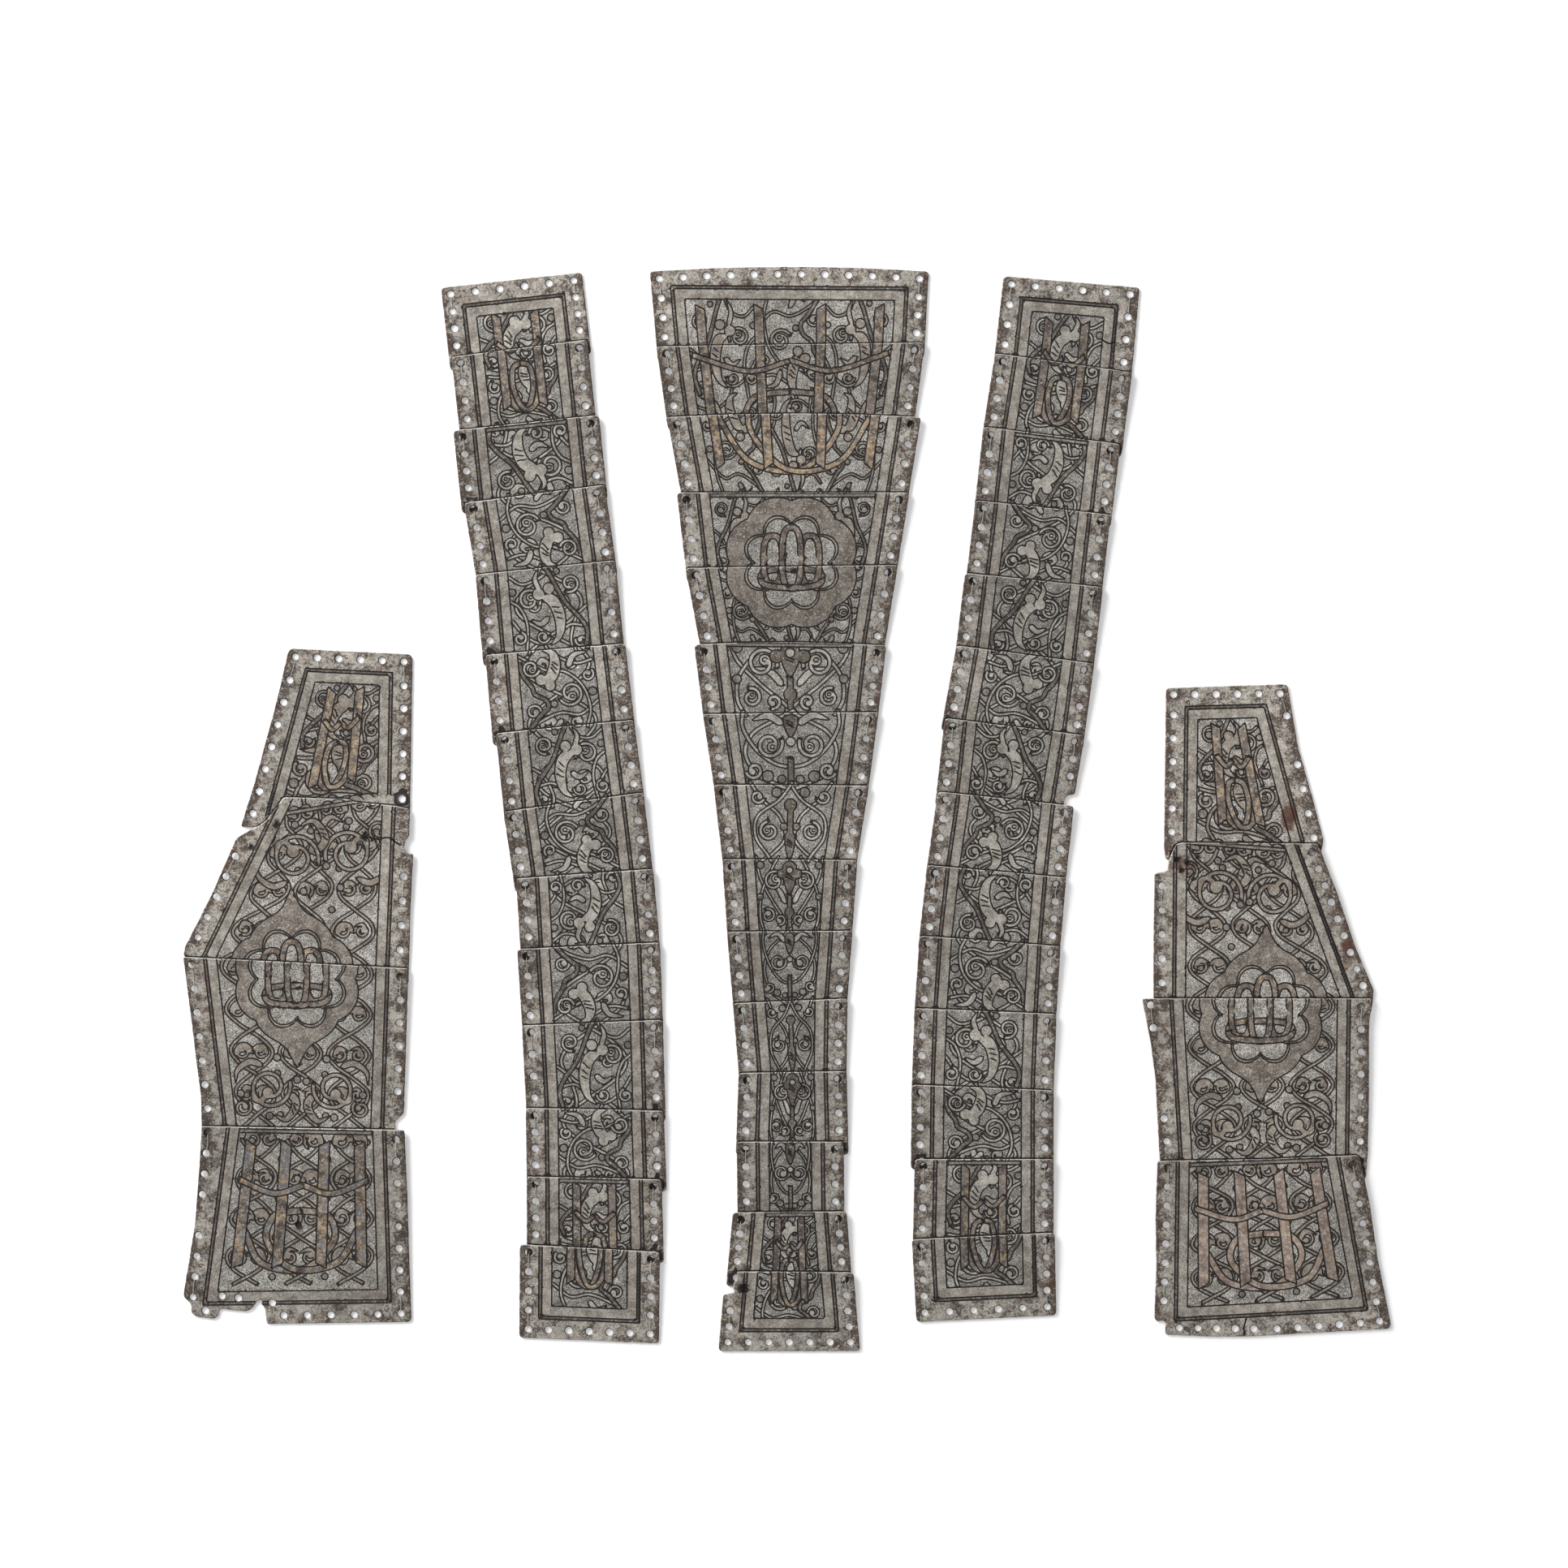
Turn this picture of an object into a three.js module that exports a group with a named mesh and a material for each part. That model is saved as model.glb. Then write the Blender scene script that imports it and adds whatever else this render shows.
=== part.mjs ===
// Lamellar body armour, laid out flat: five columns of overlapping engraved steel plates,
// one tall column in the middle, one on each side of it and a short one outside each of those.
// Millimetres. +X to the right, +Y towards the neck, +Z up off the surface that it lies on.
// The top plate of each column lies flat. Every other plate stands with its lower edge on the
// surface and leans its upper edge on the plate above it, as shingles do.

import * as THREE from 'three';

// Driving dimensions

const thickness = 1.2;
const gap = 0.3;               // clearance between two plates that rest on each other
const lap = 8;                 // how far a plate reaches under the one below it
const cornerCut = 1.1;         // flat that takes the point off a plate's corner

const holeDiameter = 3.7;
const holeSides = 5;
const holeInset = 4.7;         // from a side edge to the middle of a lacing hole
const hiddenInset = 5.5;       // the same for the hole under the lap
const firstHole = 4.0;         // from a plate's upper edge to its first hole
const lastHole = 5.0;          // from the last hole that shows to the edge of the plate below
const hiddenHole = 4.4;        // from the hole under the lap to the plate's own lower edge
const sideHoles = 4;           // lacing holes that show down each side of a plate
const leastMargin = 0.9;       // metal between a hole and the edge; a hole with less is lost
const archShares = [0.25, 0.5, 0.75];   // where along an arched edge it bends

// The two kinds of column
//
// The three inner columns are regular, so each plate is given by its upper edge alone:
// left end x, y, then right end x, y. The last line is the lowest plate's lower edge.
// A plate's sides run on towards the next plate's corners, unless feet gives its lower edge.

const innerColumns = [
  {
    name: 'centre',
    topRow: 12,
    bottomRow: 7,
    edges: [
      [-71.5, 278, 73, 278],
      [-68, 239, 71, 241],
      [-62.5, 202.5, 69, 202.5],
      [-57.5, 163.5, 63, 163.5],
      [-53, 124.5, 57, 126],
      [-48.5, 85, 51, 84.5],
      [-44, 49, 47, 50],
      [-38.5, 12.5, 42, 12],
      [-34, -26, 36, -26.5],
      [-31.5, -63.5, 33.5, -63],
      [-28.5, -100.5, 31, -98],
      [-25.5, -136.5, 30.5, -135.5],
      [-26.5, -172, 29, -172],
      [-28.5, -208.5, 30.5, -208],
      [-33, -239, 34, -239.5],
      [-36, -280.5, 37.5, -280.5],
    ],
    feet: {
      2: [-62, 195.5, 65, 195.5],
      3: [-54, 155.5, 61.5, 155.5],
      5: [-44, 76.5, 49, 76.5],
      12: [-27, -179.5, 31.5, -179],
      13: [-26, -216, 29.5, -216],
      14: [-32, -247, 33.5, -247],
    },
    crowns: { 1: 2.4, 3: 1.8, 6: 1.4 },   // how far the upper edge arches in its middle
    // The lowest plate has lost its upper left corner, through two lacing holes.
    breaks: { 15: [[-26.5, -239], [-26.2, -242.5], [-28.5, -246], [-27.5, -250], [-33.4, -251]] },
  },
  {
    name: 'left_inner',
    topRow: 6,
    bottomRow: 7,
    edges: [
      [-179.5, 269.5, -106.5, 277.5],
      [-174, 233.5, -103.5, 242.5],
      [-173, 195.5, -97.5, 203.5],
      [-167.5, 158, -94.5, 167.5],
      [-161.5, 121, -89, 128.5],
      [-156.5, 79.5, -84, 85.5],
      [-151, 39, -79.5, 46],
      [-147, -1.5, -74.5, 8.5],
      [-140.5, -36, -69.5, -31],
      [-140, -72.5, -66, -69],
      [-137.5, -112, -64.5, -109],
      [-135.5, -154.5, -64, -156],
      [-135, -190, -65, -191.5],
      [-138.5, -225, -66, -229],
      [-139, -273.5, -66.5, -276.5],
    ],
    feet: {
      1: [-174.5, 226, -101.5, 235],
      2: [-169, 188, -98.5, 196],
      3: [-168.5, 152.5, -93, 160],
      5: [-157.5, 73.5, -84, 78],
      6: [-152.5, 32.5, -78.5, 39],
      8: [-141, -43.5, -69, -38],
      9: [-138, -79.5, -65.5, -77],
      11: [-135, -162.5, -63, -162],
      12: [-135, -197, -62.5, -198],
      13: [-135, -233, -64, -235],
    },
    crowns: {},
    breaks: {},
  },
  {
    name: 'right_inner',
    topRow: 6,
    bottomRow: 6,
    edges: [
      [111.5, 275.5, 182, 269.5],
      [107, 235.5, 178, 225.5],
      [101, 197.5, 172, 188.5],
      [97, 159.5, 167, 152],
      [91.5, 122, 163, 114.5],
      [87, 84.5, 158.5, 75],
      [81, 47, 153.5, 38],
      [77.5, 9, 148, 1.5],
      [72, -29, 144, -35.5],
      [68, -65.5, 141, -71],
      [65.5, -103, 139, -106],
      [64, -142.5, 137.5, -145.5],
      [65.5, -181, 137.5, -181],
      [64, -222.5, 138, -219],
      [66.5, -265.5, 139, -262],
    ],
    feet: {
      2: [100, 190.5, 172.5, 181.5],
      3: [96, 152, 167, 145.5],
      4: [91.5, 114.5, 162, 107.5],
      6: [79, 40.5, 152.5, 30],
      7: [76, 1.5, 148, -5.5],
      12: [63.5, -186.5, 137.5, -188.5],
      13: [64.5, -230, 137.5, -227.5],
    },
    crowns: {},
    // This plate has lost its lower right corner.
    breaks: { 7: [[143, -5], [143, 4], [144, 6.5], [148.5, 7.5]] },
  },
];

// The plates of the outer columns widen in steps and are worn, so each has its own outline,
// clockwise from its upper left corner. foot is its lower edge, and a row is a line of lacing
// holes: first hole x, y, last hole x, y and how many.

const outerColumns = [
  {
    name: 'left_outer',
    plates: [
      {
        outline: [
          [-258.5, 81], [-257, 83], [-195.5, 80], [-194, 77.5], [-195, 15.5], [-195.5, -10],
          [-283, -9.5], [-275.5, 14.5], [-264, 57],
        ],
        foot: [-283, -10, -195.5, -10],
        rows: [
          [-254.5, 78.5, -198.5, 76, 6],
          [-257.5, 66.5, -276.5, -2.5, 7],
          [-198.5, 63.5, -199.5, 5, 6],
        ],
      },
      {
        outline: [
          [-260.5, 6], [-227, 5], [-224, 3.5], [-202.5, 1.5], [-195.5, 0], [-195.5, -14],
          [-197.5, -16.5], [-198.5, -20.5], [-196, -23.5], [-193.5, -23], [-195, -52],
          [-196, -90.5], [-305, -84.5], [-312.5, -76], [-312, -72], [-297.5, -43.5],
          [-285, -15], [-279, -11.5], [-272, -8], [-269, -5.5],
        ],
        foot: [-305, -84.5, -196, -90.5],
        rows: [
          [-285.5, -24.5, -305, -66.5, 5],
          [-198.5, -35, -200.5, -73, 4],
        ],
      },
      {
        outline: [
          [-312.5, -76.5], [-196, -82.5], [-197.5, -130.5], [-198.5, -157.5], [-203, -162],
          [-203, -174], [-303, -172], [-303.5, -148.5], [-306, -129.5], [-308, -112],
        ],
        foot: [-303, -172, -203, -174],
        rows: [
          [-308, -80.5, -300, -155, 7],
          [-200, -87, -202, -158, 7],
        ],
      },
      {
        outline: [
          [-303, -164], [-198, -166], [-196.5, -202], [-195.5, -236.5], [-194.5, -264.5],
          [-196.5, -265.5], [-269.5, -266.5], [-270.5, -258], [-272.5, -256], [-271.5, -254],
          [-274, -254.5], [-277, -258.5], [-280, -260], [-290, -259], [-293.5, -258.5],
          [-294.5, -262.5], [-296.5, -264], [-306.5, -262.5], [-308.5, -260.5],
          [-308.5, -256], [-312, -253], [-312.5, -251], [-306.5, -215], [-304, -182],
        ],
        foot: [-312, -266.5, -194.5, -266.5],
        rows: [
          [-299.5, -167.5, -307.5, -252.5, 9],
          [-202.5, -171, -200, -261, 9],
          [-260.5, -262, -212, -261.5, 5],
          [-292.5, -252, -284, -253, 2],
          [-301, -259.5, -301, -259.5, 1],
          [-266.5, -255.5, -266.5, -255.5, 1],
        ],
      },
    ],
  },
  {
    name: 'right_outer',
    plates: [
      {
        outline: [
          [195.5, 61.5], [196.5, 62.5], [257, 64.5], [258.5, 63.5], [264, 31.5], [271.5, 5],
          [277, -16], [275.5, -26], [195.5, -26.5], [194.5, -21], [195, 23.5],
        ],
        foot: [195.5, -26.5, 275.5, -26.5],
        rows: [
          [199.5, 59, 254.5, 59.5, 6],
          [199.5, 48.5, 198.5, -12, 6],
          [258, 48, 272, -15, 6],
        ],
      },
      {
        outline: [
          [200.5, -18.5], [203, -17.5], [274, -18], [284, -43.5], [293.5, -71.5],
          [303, -94], [302.5, -100.5], [301.5, -106.5], [189, -106.5], [189, -64.5],
          [189.5, -33.5], [196.5, -32], [196.5, -27.5], [198.5, -22.5],
        ],
        foot: [189, -106.5, 301.5, -106.5],
        rows: [
          [193.5, -40, 193.5, -90, 5],
          [271, -22.5, 297.5, -91.5, 9],
        ],
      },
      {
        outline: [
          [183, -98], [302, -98], [300.5, -112], [300.5, -148.5], [300, -178],
          [299, -191.5], [193, -190.5], [192, -178], [190, -140], [187.5, -121],
        ],
        foot: [193, -191, 299, -191.5],
        rows: [
          [187.5, -101.5, 196, -172, 7],
          [296.5, -102.5, 296, -172, 7],
        ],
      },
      {
        outline: [
          [191, -182], [248, -181], [294.5, -179], [296, -181], [301, -205], [305, -232.5],
          [312, -267], [311, -269], [264.5, -271.5], [240, -273], [216, -273], [195, -272],
          [195, -269.5], [195.5, -266], [194, -264.5], [191, -265.5], [189.5, -263.5],
          [190.5, -236.5], [190, -211.5],
        ],
        foot: [189.5, -273, 312, -273],
        rows: [
          [196.5, -185.5, 194.5, -254.5, 8],
          [292, -184, 306, -265, 9],
          [202.5, -268.5, 241, -269, 5],
          [253, -269, 296, -266, 5],
        ],
      },
    ],
  },
];

// Geometry

const point = (x, y) => new THREE.Vector2(x, y);
const between = (start, end, share) => start.clone().lerp(end, share);

// count places from start to end, both ends included
function row(start, end, count) {
  if (count === 1) return [start];
  return Array.from({ length: count }, (_, i) => between(start, end, i / (count - 1)));
}

// how far a place lies inside an outline that runs clockwise, negative if it lies outside
function depthInside(outline, place) {
  let nearest = Infinity;
  let inside = false;
  outline.forEach((start, i) => {
    const end = outline[(i + 1) % outline.length];
    const side = end.clone().sub(start);
    const along = place.clone().sub(start).dot(side) / side.lengthSq();
    const share = Math.min(1, Math.max(0, along));
    nearest = Math.min(nearest, between(start, end, share).distanceTo(place));
    const crosses = (start.y > place.y) !== (end.y > place.y);
    if (crosses && place.x < start.x + (side.x * (place.y - start.y)) / side.y) inside = !inside;
  });
  return inside ? nearest : -nearest;
}

const isWhole = (outline, hole) =>
  depthInside(outline, hole) > holeDiameter / 2 + leastMargin;

// how far an arched edge stands above its ends, part of the way along it
const archAt = (crown, share) => crown * 4 * share * (1 - share);

// the four-sided or arched plate between two edges, with its corners cut, clockwise
function plainOutline(corners, crown) {
  const outline = [];
  corners.forEach((corner, i) => {
    const before = corners[(i + 3) % 4];
    const after = corners[(i + 1) % 4];
    outline.push(between(corner, before, cornerCut / corner.distanceTo(before)));
    outline.push(between(corner, after, cornerCut / corner.distanceTo(after)));
    if (i === 0 && crown) {
      for (const share of archShares) {
        outline.push(between(corner, after, share).add(point(0, archAt(crown, share))));
      }
    }
  });
  return outline;
}

// holes down one side, measured from the upper edge to the place where the next plate covers it
function sideRow(top, bottom, inward, count, toCorner) {
  const down = bottom.clone().sub(top).normalize();
  const first = top.clone().addScaledVector(down, firstHole).addScaledVector(inward, holeInset);
  const end = toCorner ? holeInset : lastHole;
  const last = bottom.clone().addScaledVector(down, -end).addScaledVector(inward, holeInset);
  return row(first, last, count);
}

function innerPlate(column, index) {
  const number = index + 1;
  const [x1, y1, x2, y2] = column.edges[index];
  const [nextX1, nextY1, nextX2, nextY2] = column.edges[index + 1];
  const topLeft = point(x1, y1);
  const topRight = point(x2, y2);
  const nextLeft = point(nextX1, nextY1);
  const nextRight = point(nextX2, nextY2);
  const isLast = index === column.edges.length - 2;

  let footLeft = nextLeft;
  let footRight = nextRight;
  if (column.feet[number]) {
    const [footX1, footY1, footX2, footY2] = column.feet[number];
    footLeft = point(footX1, footY1);
    footRight = point(footX2, footY2);
  } else if (!isLast) {
    footLeft = between(topLeft, nextLeft, 1 + lap / topLeft.distanceTo(nextLeft));
    footRight = between(topRight, nextRight, 1 + lap / topRight.distanceTo(nextRight));
  }

  let outline = plainOutline([topLeft, topRight, footRight, footLeft], column.crowns[number]);
  const broken = (column.breaks[number] || []).map(([x, y]) => point(x, y));
  if (broken.length) {
    const atTopLeft = broken[0].y > broken.at(-1).y;
    outline.splice(atTopLeft ? 0 : 4, 2, ...broken.reverse());
  }

  // where the sides of the plate cross the edge of the next one
  const across = topRight.clone().sub(topLeft).normalize();
  const left = isLast ? footLeft : between(footLeft, topLeft, lap / footLeft.distanceTo(topLeft));
  const right = isLast ? footRight
    : between(footRight, topRight, lap / footRight.distanceTo(topRight));
  const count = isLast ? sideHoles + 1 : sideHoles;
  const holes = [
    ...sideRow(topLeft, left, across, count, isLast),
    ...sideRow(topRight, right, across.clone().negate(), count, isLast),
  ];
  if (index === 0) {
    const ends = [holes[0], holes[sideHoles]];
    const topRow = row(ends[0], ends[1], column.topRow).slice(1, -1);
    const crown = column.crowns[number] || 0;
    topRow.forEach((hole, i) => {
      hole.y += archAt(crown, (i + 1) / (column.topRow - 1));
    });
    holes.push(...topRow);
  }
  if (isLast) {
    const ends = [holes[count - 1], holes[2 * count - 1]];
    holes.push(...row(ends[0], ends[1], column.bottomRow).slice(1, -1));
  } else {
    const up = point(-across.y, across.x);
    const inset = across.clone().multiplyScalar(hiddenInset);
    holes.push(footLeft.clone().add(inset).addScaledVector(up, hiddenHole));
    holes.push(footRight.clone().sub(inset).addScaledVector(up, hiddenHole));
  }
  return {
    outline,
    holes: holes.filter((hole) => isWhole(outline, hole)),
    foot: [footLeft, footRight],
    top: [topLeft, topRight],
  };
}

function outerPlate(plate) {
  const [x1, y1, x2, y2] = plate.foot;
  const outline = plate.outline.map(([x, y]) => point(x, y));
  const rows = plate.rows.map(([fromX, fromY, toX, toY, count]) =>
    row(point(fromX, fromY), point(toX, toY), count));
  return {
    outline,
    holes: rows.flat().filter((hole) => isWhole(outline, hole)),
    foot: [point(x1, y1), point(x2, y2)],
    top: outline.filter((corner) => corner.y > plate.outline[0][1] - lap),
  };
}

// A plate's frame: its origin on the lower edge, across along it and upward square to it.
function frameOf({ outline, foot }) {
  const across = foot[1].clone().sub(foot[0]).normalize();
  const upward = point(-across.y, across.x);
  const middle = between(foot[0], foot[1], 0.5);
  const lowest = Math.min(...outline.map((corner) => corner.clone().sub(middle).dot(upward)));
  return { across, upward, origin: middle.addScaledVector(upward, lowest) };
}

const heightUp = (frame, place) => place.clone().sub(frame.origin).dot(frame.upward);

// The slope that carries a plate over the lower edge of the plate above it.
function slopeOver(plate, frame, upper) {
  const rests = [...plate.top, ...upper.foot];
  const slopes = rests.map((place) => {
    const underneath = heightUp(upper.frame, place) * upper.slope;
    return (underneath + thickness + gap) / heightUp(frame, place);
  });
  return Math.max(...slopes);
}

function plateMesh(name, plate, material) {
  const { frame, slope } = plate;
  const local = (place) => {
    const offset = place.clone().sub(frame.origin);
    return point(offset.dot(frame.across), offset.dot(frame.upward));
  };
  const shape = new THREE.Shape(plate.outline.map(local));
  for (const hole of plate.holes.map(local)) {
    const bore = new THREE.Path();
    const radius = holeDiameter / 2;
    const rim = Array.from({ length: holeSides }, (_, i) => {
      const turn = (i / holeSides) * 2 * Math.PI;
      return point(hole.x + radius * Math.cos(turn), hole.y + radius * Math.sin(turn));
    });
    bore.setFromPoints(rim);
    bore.closePath();
    shape.holes.push(bore);
  }
  const geometry = new THREE.ExtrudeGeometry(shape, {
    depth: thickness,
    bevelEnabled: false,
  });
  const mesh = new THREE.Mesh(geometry, material);
  mesh.name = name;
  mesh.rotation.x = Math.atan(slope);
  const placed = new THREE.Group();
  placed.position.set(frame.origin.x, frame.origin.y, 0);
  placed.rotation.z = Math.atan2(frame.across.y, frame.across.x);
  placed.add(mesh);
  return placed;
}

// The armour

const steel = new THREE.MeshStandardMaterial({
  name: 'engraved steel',
  color: 0x8b857e,
  roughness: 0.5,
  metalness: 0.85,
});

function column(name, plates) {
  const group = new THREE.Group();
  let upper = null;
  plates.forEach((plate, index) => {
    const frame = frameOf(plate);
    const slope = upper ? slopeOver(plate, frame, upper) : 0;
    upper = { ...plate, frame, slope };
    const number = String(index + 1).padStart(2, '0');
    group.add(plateMesh(`${name}_plate_${number}`, upper, steel));
  });
  return group;
}

const armour = new THREE.Group();
for (const inner of innerColumns) {
  const plates = inner.edges.slice(0, -1).map((_, index) => innerPlate(inner, index));
  armour.add(column(inner.name, plates));
}
for (const outer of outerColumns) {
  armour.add(column(outer.name, outer.plates.map(outerPlate)));
}

// the origin is under the middle of the whole armour
const bounds = new THREE.Box3().setFromObject(armour, true);
const middle = bounds.getCenter(new THREE.Vector3());
armour.position.set(-middle.x, -middle.y, 0);

export default armour;
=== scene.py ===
import math

import bpy
import numpy as np
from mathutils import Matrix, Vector, kdtree, noise
from mathutils.geometry import delaunay_2d_cdt


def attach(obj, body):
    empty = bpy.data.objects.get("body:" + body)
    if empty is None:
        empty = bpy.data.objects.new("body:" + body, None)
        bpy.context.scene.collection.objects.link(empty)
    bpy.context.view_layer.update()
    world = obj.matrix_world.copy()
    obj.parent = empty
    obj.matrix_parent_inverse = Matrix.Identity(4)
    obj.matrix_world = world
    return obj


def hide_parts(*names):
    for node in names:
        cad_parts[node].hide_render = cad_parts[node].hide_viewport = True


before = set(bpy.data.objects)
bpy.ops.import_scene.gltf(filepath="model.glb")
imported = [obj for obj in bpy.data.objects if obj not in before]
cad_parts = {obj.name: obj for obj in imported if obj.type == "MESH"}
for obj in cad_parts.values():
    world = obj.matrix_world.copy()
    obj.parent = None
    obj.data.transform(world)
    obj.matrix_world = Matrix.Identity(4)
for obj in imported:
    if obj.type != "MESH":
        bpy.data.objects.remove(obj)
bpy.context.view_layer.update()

# Lamellar armour laid flat. Every CAD plate is rebuilt finely over its own outline, plane and
# holes, and its ornament is cut into it as grooves. Drawing is in millimetres, in plan.

MM = 0.001
THICKNESS = 1.2
HOLE_RADIUS = 1.85
LINE_WIDTH = 0.46         # half the width of an engraved line, to where its flank ends
LINE_DEPTH = 0.27
RIM = 0.42                # width of the worn bevel along an edge
TIE_RADIUS = 0.17
GOLDEN = 0.618            # spreads the plates' tints evenly
TIE_STEPS = 4             # places along a tie between two of its bends
GRID_PITCH = 2.6          # of the loose points that fill a plate's mesh
JOINT_SHADE_OFFSET = 0.3         # painted shade: a dark line this far above the edge of the next plate
JOINT_SHADE_DEPTH = 0.1
TOP_HIGHLIGHT = 9.0            # the part of a plate, from its highest point, whose edge gets the stronger painted highlight
LAP_SHOWN = 1.5           # how far the engraving runs on under the next plate
DOUBLE_LINE = (10.1, 11.7)
FIELD_SIDE = 16.8         # from a side edge to the field
FIELD_END = 17.0          # from the end of a column to the field

COLUMNS = {
    "centre": 15,
    "left_inner": 14,
    "right_inner": 14,
    "left_outer": 4,
    "right_outer": 4,
}

# Marks of age, in millimetres from the middle of the armour

STAINS = [                # x, y, width, height and strength of a rusty patch
    (259, -4, 5, 11, 1.0), (290, -72, 5, 9, 0.9), (274, -30, 4, 8, 0.55), (-289, -250, 16, 6, 0.5),
    (-300, -100, 6, 16, 0.5), (-232, -258, 14, 5, 0.5), (210, -200, 5, 14, 0.5), (-71, -180, 4, 16, 0.5),
    (-128, 20, 5, 12, 0.5), (140, 200, 5, 12, 0.5), (76, -60, 5, 12, 0.5), (-20, -262, 12, 5, 0.5),
    (-245, 40, 4, 12, 0.4), (136, -240, 5, 12, 0.5), (206, -29, 10, 8, 0.75), (-265, -11, 9, 7, 0.7),
    (-22, -249, 6, 6, 0.7), (195, -262, 5, 6, 0.6),
]
PITS = [                  # x, y, radius and depth of a hole eaten or driven into a plate
    (-218, -14.2, 2.4, 0.85), (-263.5, -8.5, 1.7, 0.5), (-252.6, -214.8, 2.0, 0.8),
    (-22.6, -248, 2.5, 0.95), (201.5, -26.5, 1.6, 0.7), (207, -28, 1.4, 0.6), (204, -32, 1.3, 0.6),
    (212, -25, 1.1, 0.5), (-246, -9, 1.2, 0.4), (-277, -20, 1.2, 0.5),
]
CRACKS = [                # places along a crack
    [(-216, -14.5), (-211, -15.8), (-206, -15), (-200.5, -18.5)],
    [(236.5, -272), (236, -268.5), (237, -265)],
    [(163, 242.5), (166, 240.5), (169, 241)],
]

GOLD = {                  # how much gilding is left on the straps of a plate
    "centre_plate_03": 0.95,
    "left_outer_plate_01": 0.75,
    "left_outer_plate_02": 0.5,
    "left_outer_plate_04": 0.8,
    "right_outer_plate_01": 0.5,
}

CLEANER = {               # how much brighter than the rest a plate has stayed
    "right_outer_plate_01": 1.3,
    "right_outer_plate_02": 1.2,
    "right_outer_plate_03": 0.5,
    "right_outer_plate_04": 0.4,
}

rng = np.random.default_rng(7)


# Plane geometry

def inside(points, loop):
    """Which points lie inside a closed loop."""
    x, y = points[:, :1], points[:, 1:]
    x1, y1 = loop[:, 0], loop[:, 1]
    x2, y2 = np.roll(x1, -1), np.roll(y1, -1)
    spans = (y1 > y) != (y2 > y)
    rise = np.where(y2 == y1, 1.0, y2 - y1)
    hits = spans & (x < x1 + (y - y1) * (x2 - x1) / rise)
    return hits.sum(1) % 2 == 1


def normals_of(path, closed=False):
    if closed:
        along = np.roll(path, -1, 0) - np.roll(path, 1, 0)
    else:
        along = np.gradient(path, axis=0)
    length = np.maximum(np.hypot(along[:, 0], along[:, 1]), 1e-9)[:, None]
    along = along / length
    return np.stack([-along[:, 1], along[:, 0]], 1)


def spline(points, step=0.3, count=None):
    """A smooth path through the points, by length of step or by count between two points."""
    p = np.array(points, float)
    if len(p) == 2:
        count = max(2, int(np.linalg.norm(p[1] - p[0]) / step))
        return p[0] + (p[1] - p[0]) * np.linspace(0, 1, count + 1)[:, None]
    p = np.vstack([2 * p[0] - p[1], p, 2 * p[-1] - p[-2]])
    parts = []
    for a, b, c, d in zip(p, p[1:], p[2:], p[3:]):
        steps = count or max(2, int(np.linalg.norm(c - b) / step))
        t = np.linspace(0, 1, steps, endpoint=False)[:, None]
        parts.append(0.5 * (2 * b + (c - a) * t + (2 * a - 5 * b + 4 * c - d) * t ** 2
                            + (3 * b - a - 3 * c + d) * t ** 3))
    return np.vstack(parts + [p[-2:-1]])


def ribbon(path, width):
    """The outline of a band along a path. width is one number or one for each point."""
    side = normals_of(path) * (np.ones(len(path)) * width)[:, None] / 2
    return np.vstack([path + side, (path - side)[::-1]])


def full_turn(count):
    return np.linspace(0, 2 * math.pi, count, endpoint=False)


def around(turn):
    """Unit steps away from a middle at these angles."""
    return np.stack([np.cos(turn), np.sin(turn)], -1)


def circle(centre, radius):
    count = max(10, int(2 * math.pi * radius / 0.3))
    return np.array(centre) + radius * around(full_turn(count))


def closed_spaced(loop, step):
    """A closed loop with points at most step apart."""
    parts = []
    for a, b in zip(loop, np.roll(loop, -1, 0)):
        count = max(1, math.ceil(np.linalg.norm(b - a) / step))
        parts.append(a + (b - a) * np.linspace(0, 1, count, endpoint=False)[:, None])
    return np.vstack(parts)


def placed(name, data):
    obj = bpy.data.objects.new(name, data)
    bpy.context.scene.collection.objects.link(obj)
    return obj


# Plates as the frame gives them

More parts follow.
